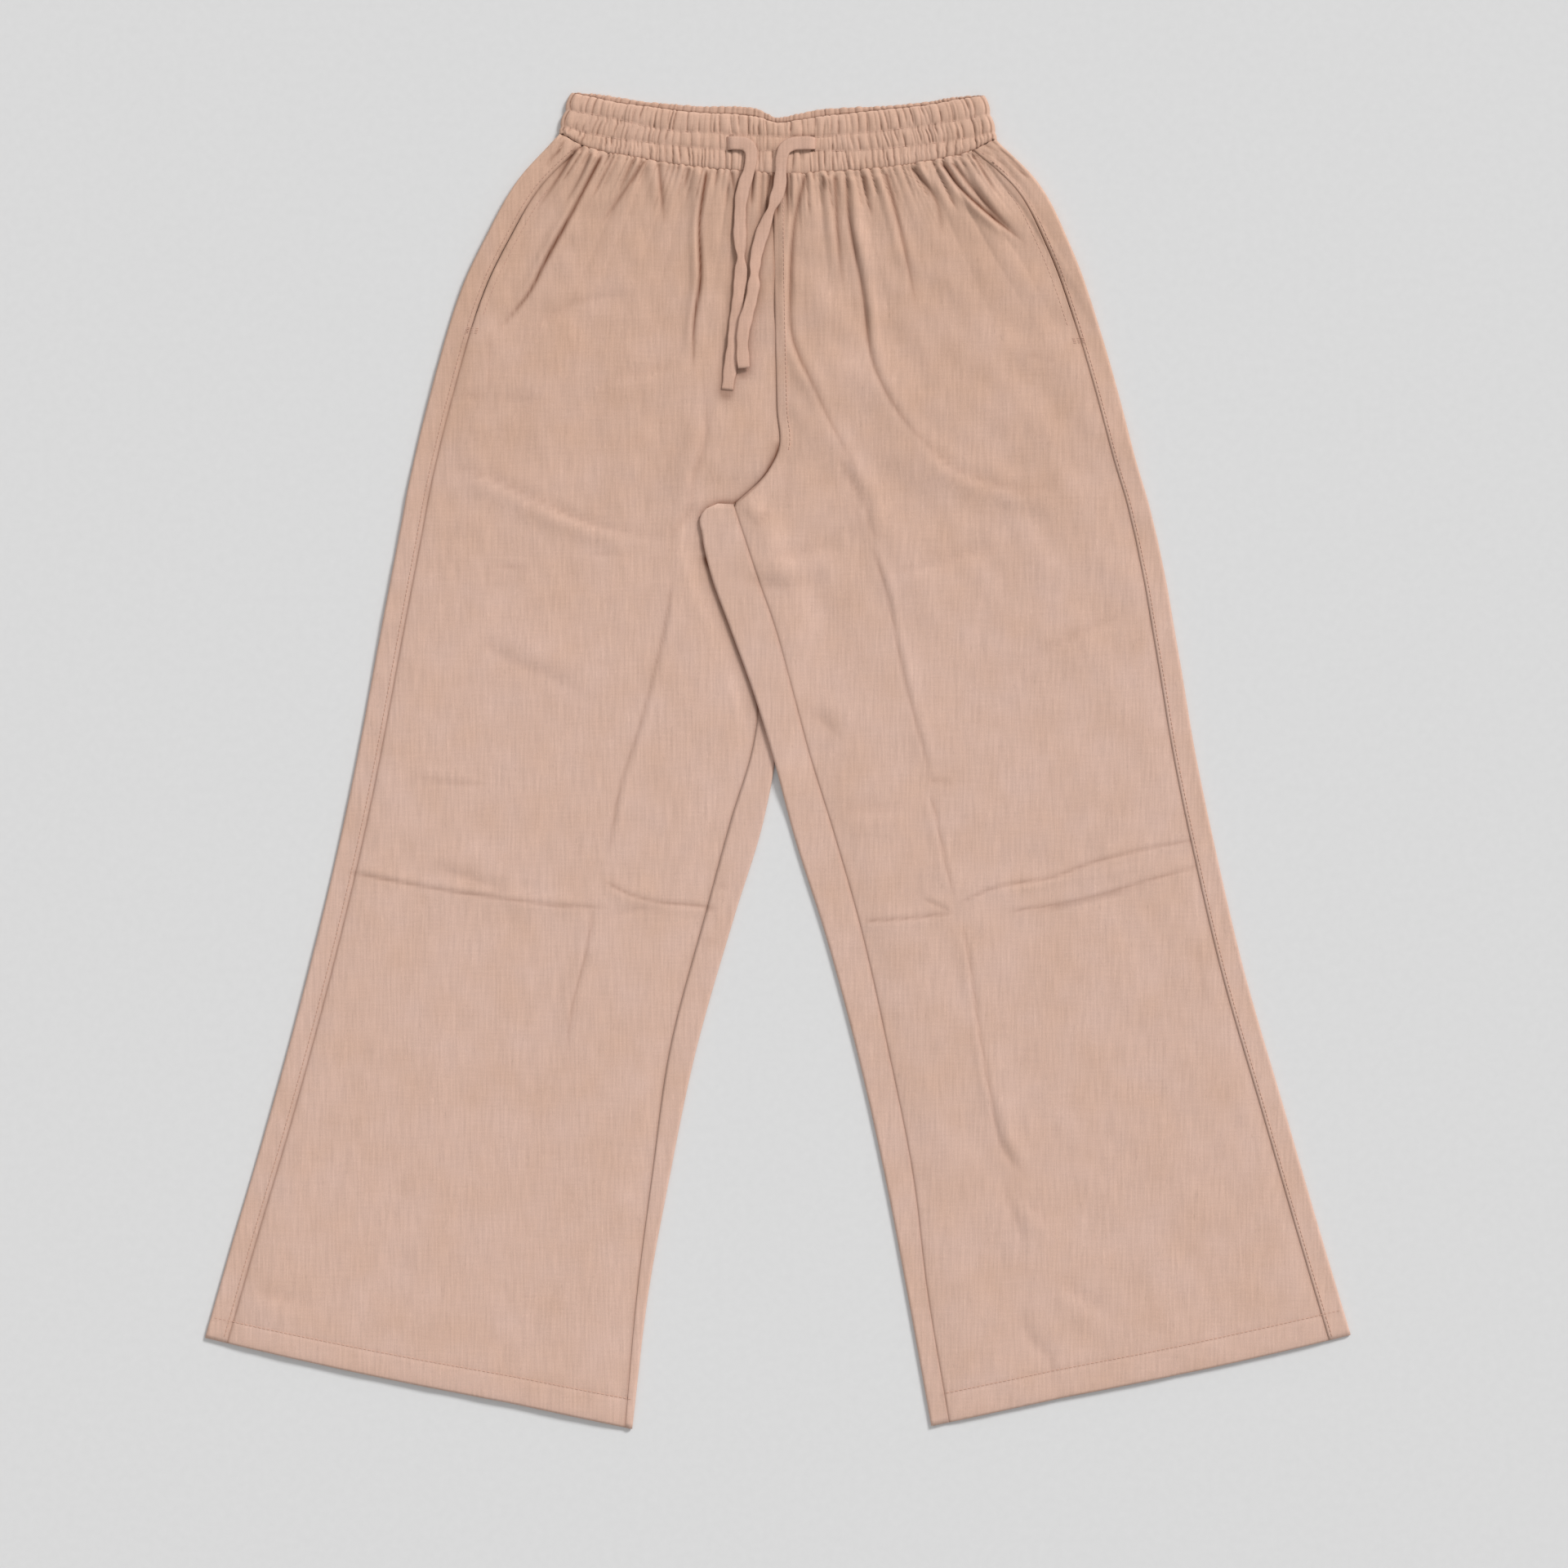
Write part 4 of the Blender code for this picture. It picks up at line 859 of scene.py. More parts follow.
@dataclass
class Leg:
    """One leg's curves, read at the drop of its inner edge."""

    sections: tuple[Section, ...]
    side: int
    gathers: tuple[Crease, ...]
    creases: tuple[Crease, ...]
    keys: np.ndarray = field(init=False)

    def __post_init__(self) -> None:
        self.keys = np.array([row.in_drop for row in self.sections])

    def value(self, name: str, key: np.ndarray) -> np.ndarray:
        """One size of the section at a key; the inner edge turns sharply at the crotch.

        Args:
            name: a field of Section.
            key: drops of the inner edge.

        Returns:
            The sizes there.
        """
        values = np.array([getattr(row, name) for row in self.sections])
        if name not in ("in_x", "strip", "in_high"):
            return curve(self.keys, values, key)
        crotch = int(np.searchsorted(self.keys, CROTCH_DROP))
        above = curve(self.keys[:crotch + 1], values[:crotch + 1], np.minimum(key, CROTCH_DROP))
        below = curve(self.keys[crotch:], values[crotch:], np.maximum(key, CROTCH_DROP))
        if name == "strip" and self.side > 0:
            below = below + CROTCH_ROUND * np.sin(
                np.pi * np.clip((key - CROTCH_DROP) / CROTCH_ROUND_DEPTH, 0.0, 1.0))
        return np.where(key <= CROTCH_DROP, above, below)

    def ends(self, key: np.ndarray) -> tuple[np.ndarray, np.ndarray, np.ndarray]:
        """Outer fold, direction to the inner edge and distance between them.

        Args:
            key: drops of the inner edge.

        Returns:
            Outer place, unit direction (both with a last axis of x and drop), length.
        """
        key = np.asarray(key, float)
        outer = np.stack((self.value("out_x", key), self.value("out_drop", key)), axis=-1)
        inner = np.stack((self.value("in_x", key), key), axis=-1)
        length = np.linalg.norm(inner - outer, axis=-1)
        return outer, (inner - outer) / length[..., None], length

    def inner_fold(self, drop: np.ndarray) -> np.ndarray:
        """x of the inner fold at a drop.

        Args:
            drop: drops in mm.

        Returns:
            x in mm.
        """
        key = np.clip(drop, CROTCH_DROP + 0.1, self.keys[-1])
        return self.value("in_x", key) - self.side * self.value("strip", key)

    def place(self, away: np.ndarray, key: np.ndarray) -> tuple[np.ndarray, np.ndarray]:
        """Place of a point this far from the outer fold, on the row of a key.

        Near the waist the row hangs below its straight line, as the waist seam curves:
        by the seam's drop less the row's, times the square of what is left of the fade.

        Args:
            away: distances from the outer fold.
            key: drops of the inner edge.

        Returns:
            x and drop, in mm.
        """
        outer, along, length = self.ends(key)
        x = outer[..., 0] + along[..., 0] * away
        drop = outer[..., 1] + along[..., 1] * away
        fade = np.maximum(0.0, 1.0 - (key - self.keys[0]) / SAG_FADE) ** 2
        first_outer, first_along, first = self.ends(self.keys[0])
        scaled = SIDE_STRIP + (away - SIDE_STRIP) * (first - SIDE_STRIP) / (length - SIDE_STRIP)
        scaled = np.where(away > SIDE_STRIP, scaled, away)
        seam_x = first_outer[0] + first_along[0] * scaled
        straight = first_outer[1] + first_along[1] * scaled
        hang = HEM_SAG * np.sin(np.pi * np.clip(away / length / HEM_SAG_END, 0.0, 1.0))
        hang = hang * ease((key - self.keys[-1] + HEM_SAG_REACH) / HEM_SAG_REACH)
        return x, drop + (waist("seam", seam_x) + SEAM_GAP - straight) * fade + hang

    def lift(self, x: np.ndarray, drop: np.ndarray) -> np.ndarray:
        """Height that the left leg gains where it lies over the right one.

        Args:
            x: places across.
            drop: places down.

        Returns:
            Heights in mm.
        """
        if self.side < 0:
            return np.zeros(np.broadcast(x, drop).shape)
        over = RIGHT.inner_fold(drop) + LAP_CLEAR
        across = 1.0 - ease((x - over) / LAP_FALL)
        down = ease((drop - LAP_STARTS) / (CROTCH_DROP - LAP_STARTS - LAP_FULL_EARLY))
        down = down * (1.0 - ease((drop - LAP_ENDS) / (LAP_DOWN - LAP_ENDS)))
        return LAP_LIFT * across * down

    def tuck(self, x: np.ndarray, drop: np.ndarray) -> np.ndarray:
        """1 where the right leg lies under the left one, 0 where it is free.

        Args:
            x: places across.
            drop: places down.

        Returns:
            Shares from 0 to 1.
        """
        if self.side > 0:
            return np.zeros(np.broadcast(x, drop).shape)
        edge = LEFT.inner_fold(drop) - TUCK_MARGIN
        across = 1.0 - ease((edge - x) / TUCK_FALL)
        down = ease((drop - TUCK_STARTS) / TUCK_RISE) * (1.0 - ease((drop - TUCK_ENDS) / TUCK_OUT))
        return across * down

    def relief(self, x: np.ndarray, drop: np.ndarray) -> tuple[np.ndarray, np.ndarray]:
        """Gathers, creases and unevenness of the upper layer.

        The gathers are two ripples of the waist, fine and wide, which fade below it. The
        cloth between is uneven, more so over the hips. The shade is the darkest of the
        lines down in creases and gathers, plus the valleys of the ripples.

        Args:
            x: places across.
            drop: places down.

        Returns:
            Heights in mm and shares of crease shade.
        """
        below = np.maximum(0.0, drop - waist("seam", x / SEAM_WIDENING))
        across = x * (1.0 / (1.0 + below / SPREAD_LENGTH))
        seed = FINE_SEED + self.side
        fine = ripple(across, FINE_GATHER, GATHER_SPAN, seed) - RIPPLE_MEAN
        wide = ripple(across, WIDE_GATHER, GATHER_SPAN, WIDE_SEED + self.side) - RIPPLE_MEAN
        run = below / FINE_FADE
        tight, thin = (gather_lines(across, run, FINE_GATHER, GATHER_SPAN, seed, width)
                       for width in GATHER_LINES)
        fine_fade = np.exp(-run ** FINE_POWER)
        wide_fade = np.exp(-(below / WIDE_FADE) ** WIDE_POWER)
        total = FINE_HEIGHT * fine * fine_fade - FINE_NOTCH * tight
        total = total + WIDE_HEIGHT * wide * wide_fade * ease(below / 9.0 + 0.35)
        creases, dark = crease_relief(x, drop, self.gathers + self.creases)
        loose = 0.35 + 0.75 * (1.0 - ease((drop - LOOSE_HIP[0]) / (LOOSE_HIP[1] - LOOSE_HIP[0])))
        waves = swell(x, drop, SWELL_SEED + self.side, *SWELL_WAVES)
        total = total + creases + loose * waves * ease(below / 90.0)
        flutter = swell(x, drop, FLUTTER_SEED + self.side, *FLUTTER_WAVES)
        total = total + 0.25 * loose * flutter
        valleys = 0.5 * (-fine - 0.12).clip(0.0) * fine_fade
        valleys = valleys + 0.5 * (-wide - 0.2).clip(0.0) * wide_fade
        return total, np.maximum(dark, 0.62 * thin) + 0.6 * valleys

    def top(self, away: np.ndarray, key: np.ndarray) -> tuple[np.ndarray, ...]:
        """The cloth's upper face, at a distance from the outer fold on the row of a key.

        The height runs evenly from the outer fold's to the inner edge's, plus the
        relief, never lower than what lies below, plus the lap's lift.

        Args:
            away: distances from the outer fold.
            key: drops of the inner edge.

        Returns:
            x, drop and height in mm, and the share of crease shade.
        """
        away, key = np.broadcast_arrays(np.asarray(away, float), np.asarray(key, float))
        x, drop = self.place(away, key)
        _, _, length = self.ends(key)
        out_high, in_high = self.value("out_high", key), self.value("in_high", key)
        share = np.clip(away / length, 0.0, 1.0)
        relief, shade = self.relief(x, drop)
        hidden = self.tuck(x, drop)
        puff = PUFF * ease((away - PUFF_EDGE) / PUFF_RISE)
        puff = puff * ease((length - away + PUFF_EDGE) / PUFF_RISE)
        relief = relief + puff * ease((key - TOP_ROWS_END) / PUFF_RISE)
        high = out_high + (in_high - out_high) * share + relief * (1.0 - hidden)
        high = high + (in_high - high) * hidden
        least = np.full(high.shape, FRONT_LEAST)
        least[over_pocket(away, drop)] = OVER_POCKET_LEAST
        soft = 0.5 * (high + least + np.sqrt((high - least) ** 2 + 0.06))
        hem = ease((key - (self.keys[-1] - HEM_DEPTH - 1.0)) / 2.0)
        fell = ease((FELL_WIDTH - (length - away)) / 1.2) * (key < CROTCH_DROP) * (self.side > 0)
        groove = 0.35 * np.exp(-((key - (self.keys[-1] - HEM_DEPTH)) / 1.6) ** 2)
        # Painted shade: faint over the hips, and painted contact shadows beside the cords and along the
        # lap's edge
        high_hip = 1.0 - ease((drop - HIP_WARM[0]) / (HIP_WARM[1] - HIP_WARM[0]))
        shade = shade + HIP_SHADE * high_hip + cord_shade(x, drop) + lap_shade(x, drop, self.side)
        if self.side < 0:
            # Painted shadow cast by the left leg's inner fold onto the right leg, below the lap
            fold = LEFT.inner_fold(drop)
            below_lap = (drop > CROTCH_DROP + LAP_EDGE_DEEP) & (drop < TUCK_ENDS)
            shade = shade + 0.6 * np.exp(-np.abs(x - fold + 1.0) / 3.0) * below_lap
        turned = HEM_ROLL * np.exp(-(self.keys[-1] - key) / 3.0)
        high = soft + HEM_STEP * hem - groove - turned + FELL_RISE * fell + self.lift(x, drop)
        # The hem's stitched groove also gets some painted shade
        return x, drop, high, np.clip(shade + 0.25 * groove, 0.0, 0.92)


LEFT = Leg(LEFT_LEG, 1, LEFT_GATHER_CREASES, LEFT_BODY_CREASES)
RIGHT = Leg(RIGHT_LEG, -1, RIGHT_GATHER_CREASES, RIGHT_BODY_CREASES)


def world(x: np.ndarray, drop: np.ndarray, high: np.ndarray) -> np.ndarray:
    """Stacks places into points of the frame.

    Args:
        x: across, in mm.
        drop: down the garment, in mm.
        high: above the floor, in mm.

    Returns:
        Points in metres, with a last axis of 3.
    """
    x, drop, high = np.broadcast_arrays(x, drop, high)
    return np.stack((x, WAIST_Y - drop, high), axis=-1) * MM


def grid_faces(numbers: np.ndarray) -> np.ndarray:
    """Quads of a grid of vertex numbers.

    Args:
        numbers: rows and columns of vertex numbers.

    Returns:
        One row of four numbers a quad.
    """
    a, b = numbers[:-1, :-1], numbers[1:, :-1]
    c, d = numbers[1:, 1:], numbers[:-1, 1:]
    return np.stack((a, b, c, d), axis=-1).reshape(-1, 4)


def make_object(name: str, points: np.ndarray, faces: np.ndarray,
                crease: np.ndarray | None = None) -> bpy.types.Object:
    """Makes a smooth mesh object at the origin.

    Args:
        name: of the object.
        points: in metres.
        faces: quads, as rows of vertex numbers.
        crease: share of crease shade at each vertex.

    Returns:
        The object.
    """
    mesh = bpy.data.meshes.new(name)
    mesh.from_pydata(points.reshape(-1, 3), [], faces.tolist())
    mesh.validate()
    mesh.polygons.foreach_set("use_smooth", np.ones(len(mesh.polygons), bool))
    layer = mesh.attributes.new("crease", "FLOAT", "POINT")
    shade = np.zeros(len(mesh.vertices)) if crease is None else crease
    layer.data.foreach_set("value", shade.astype(np.float32).ravel())
    mesh.update()
    made = bpy.data.objects.new(name, mesh)
    bpy.context.scene.collection.objects.link(made)
    return made


def close_shell(name: str, outer: np.ndarray, inner: np.ndarray, faces: np.ndarray,
                crease: np.ndarray, flipped: bool) -> bpy.types.Object:
    """Closes two skins of the same layout into one wall.

    Args:
        name: of the object.
        outer: points of the outer skin.
        inner: points of the inner skin.
        faces: quads of the outer skin.
        crease: share of crease shade at each point.
        flipped: whether the quads face inwards.

    Returns:
        The object.
    """
    outer, inner, crease = outer.reshape(-1, 3), inner.reshape(-1, 3), crease.ravel()
    faces = faces[:, ::-1] if flipped else faces
    count = len(outer)
    edges = np.concatenate([faces[:, [k, (k + 1) % 4]] for k in range(4)])
    codes = edges[:, 0].astype(np.int64) * count + edges[:, 1]
    back = edges[:, 1].astype(np.int64) * count + edges[:, 0]
    rim = edges[~np.isin(codes, back)]
    walls = np.stack((rim[:, 1], rim[:, 0], rim[:, 0] + count, rim[:, 1] + count), axis=1)
    every = np.concatenate((faces, faces[:, ::-1] + count, walls))
    return make_object(name, np.concatenate((outer, inner)), every, np.tile(crease, 2))


class Cloth:
    """Builds the procedural materials."""

    @staticmethod
    def node(tree: bpy.types.NodeTree, kind: str, settings: dict | None = None,
             inputs: dict | None = None) -> bpy.types.Node:
        """Adds a node.

        Args:
            tree: of the material.
            kind: the node's type.
            settings: its properties.
            inputs: a value or an output socket for each input.

        Returns:
            The node.
        """
        made = tree.nodes.new(kind)
        for name, value in (settings or {}).items():
            setattr(made, name, value)
        for name, value in (inputs or {}).items():
            if isinstance(value, bpy.types.NodeSocket):
                tree.links.new(value, made.inputs[name])
            else:
                made.inputs[name].default_value = value
        return made

    def noise(self, tree: bpy.types.NodeTree, vector: bpy.types.NodeSocket,
              grain: tuple[float, float], detail: float) -> bpy.types.NodeSocket:
        """Noise stretched to a grain.

        Args:
            tree: of the material.
            vector: object coordinates.
            grain: the pattern's size across and along the warp, in mm.
            detail: octaves.

        Returns:
            The noise's output, about 0.5 on average.
        """
        scale = (1.0 / (grain[0] * MM), 1.0 / (grain[1] * MM), 1.0 / (grain[0] * MM))
        mapped = self.node(tree, "ShaderNodeMapping", {}, {"Vector": vector, "Scale": scale})
        made = self.node(tree, "ShaderNodeTexNoise", {},
                         {"Vector": mapped.outputs["Vector"], "Scale": 1.0, "Detail": detail})
        return made.outputs["Fac"]

    def maths(self, tree: bpy.types.NodeTree, operation: str, first: object,
              second: object) -> bpy.types.NodeSocket:
        """One sum on numbers.

        Args:
            tree: of the material.
            operation: of the Math node.
            first: number or socket.
            second: number or socket.

        Returns:
            The result's socket.
        """
        made = self.node(tree, "ShaderNodeMath", {"operation": operation}, {0: first, 1: second})
        return made.outputs[0]

    def span(self, tree: bpy.types.NodeTree, value: bpy.types.NodeSocket,
             source: tuple[float, float], target: tuple[float, float]) -> bpy.types.NodeSocket:
        """Maps a range to another, clamped.

        Args:
            tree: of the material.
            value: the socket.
            source: its range.
            target: the new range.

        Returns:
            The result's socket.
        """
        limits = {"Value": value, "From Min": source[0], "From Max": source[1],
                  "To Min": target[0], "To Max": target[1]}
        return self.node(tree, "ShaderNodeMapRange", {"clamp": True}, limits).outputs[0]

    def linen(self, finish: Finish, look: LinenFinish) -> bpy.types.Material:
        """Plain-woven linen and cotton: mottled dye, slub yarns, weave relief, painted warm
        shade towards the waist, and painted shade from the crease attribute.

        Args:
            finish: which cloth.
            look: its colours and relief.

        Returns:
            The material.
        """
        material = bpy.data.materials.new(finish.value)
        material.use_nodes = True
        tree = material.node_tree
        shader = tree.nodes["Principled BSDF"]
        at = self.node(tree, "ShaderNodeTexCoord").outputs["Object"]
        blotch = self.noise(tree, at, (look.mottle / MM, look.mottle / MM), 4.0)
        warp = self.noise(tree, at, (1.5, 26.0), 2.0)
        weft = self.noise(tree, at, (20.0, 1.6), 2.0)
        slub = self.noise(tree, at, (2.2, 9.0), 1.0)
        yarn = self.noise(tree, at, (0.75, 0.9), 1.0)
        up = self.node(tree, "ShaderNodeSeparateXYZ", {}, {"Vector": at}).outputs["Y"]
        # Random mottle between the two tints, plus painted warm shade growing towards the waist
        tint = self.maths(tree, "ADD", self.span(tree, blotch, (0.3, 0.7), (0.18, 0.62)),
                          self.span(tree, up, WARM_Y, (0.0, look.warm)))
        dye_and_warm_shade = self.node(tree, "ShaderNodeMix", {"data_type": "RGBA", "clamp_factor": True},
                         {"Factor": tint, 6: linear(look.pink), 7: linear(look.tan)}).outputs[2]
        lines = self.maths(tree, "ADD", self.span(tree, warp, (0.25, 0.75), (-0.08, 0.08)),
                           self.span(tree, weft, (0.25, 0.75), (-0.025, 0.025)))
        specks = self.maths(tree, "ADD", self.span(tree, slub, (0.70, 0.78), (0.0, 0.07)),
                            self.span(tree, slub, (0.30, 0.22), (0.0, -0.08)))
        grain = self.maths(tree, "ADD", specks, self.span(tree, yarn, (0.25, 0.75), (-0.05, 0.05)))
        value = self.maths(tree, "ADD", self.maths(tree, "ADD", lines, grain), 1.0)
        woven = self.node(tree, "ShaderNodeHueSaturation", {},
                          {"Color": dye_and_warm_shade, "Value": value}).outputs["Color"]
        # Painted shade: the crease attribute mixes in the shade colour in creases, gathers, seams,
        # slots and beside the cords and lap
        crease = self.node(tree, "ShaderNodeAttribute", {"attribute_name": "crease"}).outputs["Fac"]
        shaded = self.node(tree, "ShaderNodeMix", {"data_type": "RGBA"},
                           {"Factor": crease, 6: woven, 7: linear(look.shade)}).outputs[2]
        tree.links.new(shaded, shader.inputs["Base Color"])
        height = self.maths(tree, "ADD", self.maths(tree, "MULTIPLY", yarn, 0.7),
                            self.maths(tree, "MULTIPLY", warp, 0.6))
        bump = self.node(tree, "ShaderNodeBump", {},
                         {"Strength": 0.55, "Distance": look.relief * MM, "Height": height})
        tree.links.new(bump.outputs["Normal"], shader.inputs["Normal"])
        shader.inputs["Roughness"].default_value = 0.9
        shader.inputs["Sheen Weight"].default_value = 0.12
        shader.inputs["Sheen Roughness"].default_value = 0.5
        shader.inputs["Specular IOR Level"].default_value = 0.2
        return material

    def plain(self, finish: Finish, code: str, grain: float) -> bpy.types.Material:
        """A matt finish with a slight fleck.

        Args:
            finish: which one.
            code: its sRGB colour.
            grain: the fleck's size in mm.

        Returns:
            The material.
        """
        material = bpy.data.materials.new(finish.value)
        material.use_nodes = True
        tree = material.node_tree
        shader = tree.nodes["Principled BSDF"]
        at = self.node(tree, "ShaderNodeTexCoord").outputs["Object"]
        value = self.span(tree, self.noise(tree, at, (grain, grain), 1.0), (0.2, 0.8), (0.985, 1.015))
        fleck = self.node(tree, "ShaderNodeHueSaturation", {}, {"Color": linear(code), "Value": value})
        tree.links.new(fleck.outputs["Color"], shader.inputs["Base Color"])
        shader.inputs["Roughness"].default_value = 0.8
        return material


@dataclass(frozen=True)
class Cut:
    """The flat cut of a sheet: width, length and area, in metres."""

    width: float
    length: float
    area: float
    held: str
    rests_on: tuple[str, ...] = ()


@dataclass
class Piece:
    """A dressed piece: what it stands for, its slot and its material."""

    made: bpy.types.Object
    slot: str
    nodes: tuple[str, ...] = ()

    def dress(self, material: bpy.types.Material) -> bpy.types.Object:
        """Gives the piece its material and its place in the frame.

        Args:
            material: of the piece.

        Returns:
            The object.
        """
        self.made.data.materials.append(material)
        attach(self.made, "root")
        if self.nodes:
            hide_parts(*self.nodes)
        return self.made


@dataclass
class FrontPanel:
    """A front panel, from the waist seam to the hem."""

    leg: Leg
    name: str

    def build(self) -> bpy.types.Object:
        """Lays the panel over the back panel.

        Rows are closer near the waist. Both long edges dip into their seams, and the
        edge beside the pocket slit gapes and stands up a little.

        Returns:
            The object.
        """
        leg = self.leg
        start, hem = leg.keys[0], leg.keys[-1]
        upper = np.arange(start, TOP_ROWS_END, FRONT_TOP_STEP)
        middle = np.arange(TOP_ROWS_END, KNEE_ROWS[0], FRONT_STEP)
        knee = np.arange(KNEE_ROWS[0], KNEE_ROWS[1], KNEE_STEP)
        lower = np.arange(KNEE_ROWS[1], hem - HEM_ROWS_DEPTH - LOW_STEP / 2, LOW_STEP)
        last = np.linspace(hem - HEM_ROWS_DEPTH, hem, HEM_ROWS)
        key = np.concatenate((upper, middle, knee, lower, last))[:, None]
        _, _, length = leg.ends(key)
        first = SIDE_STRIP + SEAM_GAP / 2
        slit = np.clip((leg.value("out_drop", key) - SLIT_TOP) / (SLIT_END - SLIT_TOP), 0.0, 1.0)
        gape = np.sqrt(np.sin(np.pi * slit).clip(0.0))
        share = np.linspace(0.0, 1.0, FRONT_COLUMNS)[None, :]
        share = share - 0.012 * np.sin(2 * np.pi * share)
        low = first + SLIT_GAPE * gape
        away = low + (length - SEAM_GAP / 2 - low) * share
        x, drop, high, shade = leg.top(away, key)
        edge = np.minimum(away - low, length - SEAM_GAP / 2 - away)
        high = high - EDGE_DIP * np.exp(-edge / EDGE_WIDTH) * (1.0 - gape * (share < 0.5))
        shade = shade + SEAM_SHADE * np.exp(-edge / SEAM_LINE)
        high = high + SLIT_RISE * gape * np.exp(-(away - low) / 5.0)
        hem_zone = key > hem - HEM_DEPTH
        thick = np.where(hem_zone, HEM_THICK, THICK) * np.ones_like(high)
        floor = np.where(over_pocket(away, drop), OVER_POCKET_FLOOR, FRONT_FLOOR)
        floor = floor + leg.lift(x, drop)
        under = np.maximum(high - thick, floor)
        closed = 1.0 - gape
        joined = np.where((key > CROTCH_DROP) | (leg.side < 0), 1.0, 0.15) * np.ones_like(closed)
        outer = away[:, :1] - UNDERLAP * np.maximum(closed, 0.15)
        inner = away[:, -1:] + UNDERLAP * joined
        sides = [self.lap(leg, outer, key, high[:, :1], floor[:, :1]),
                 self.lap(leg, inner, key, high[:, -1:], floor[:, -1:])]
        grids = []
        for number, grid in enumerate((x, drop, high, under)):
            grids.append(np.concatenate((sides[0][number], grid, sides[1][number]), 1))
        # Painted shade on the tucked edges, strongest on the left leg's edge along the rise curve
        on_curve = (key > RISE_CURVE - 4.0) & (key < CROTCH_DROP) & (leg.side > 0)
        rise_side = shade[:, -1:] + 0.12 + 0.6 * on_curve
        shade = np.concatenate((shade[:, :1] + 0.12, shade, rise_side), 1)
        tuck = [grid[:1] - shift
                for grid, shift in zip(grids, (0.0, UNDERLAP, UNDERLAP_SINK, 0.5))]
        x, drop, high, under = (np.concatenate((edge_row, grid)) for edge_row, grid in zip(tuck, grids))
        shade = np.concatenate((shade[:1] + 0.12, shade)).clip(0.0, 0.95)
        numbers = np.arange(high.size).reshape(high.shape)
        return close_shell(self.name, world(x, drop, high), world(x, drop, under),
                           grid_faces(numbers), shade, flipped=leg.side > 0)

    @staticmethod
    def lap(leg: Leg, away: np.ndarray, key: np.ndarray, high: np.ndarray,
            floor: np.ndarray) -> tuple[np.ndarray, ...]:
        """The edge that a panel tucks under its neighbour at a seam.

        Args:
            leg: whose panel it is.
            away: distance of the tucked edge from the outer fold.
            key: drops of the inner edge.
            high: height of the cloth beside it.
            floor: least height there.

        Returns:
            x, drop, and heights of the upper and the lower face.
        """
        x, drop = leg.place(away, key)
        upper = np.maximum(high - UNDERLAP_SINK, floor + 0.5)
        return x, drop, upper, upper - 0.45


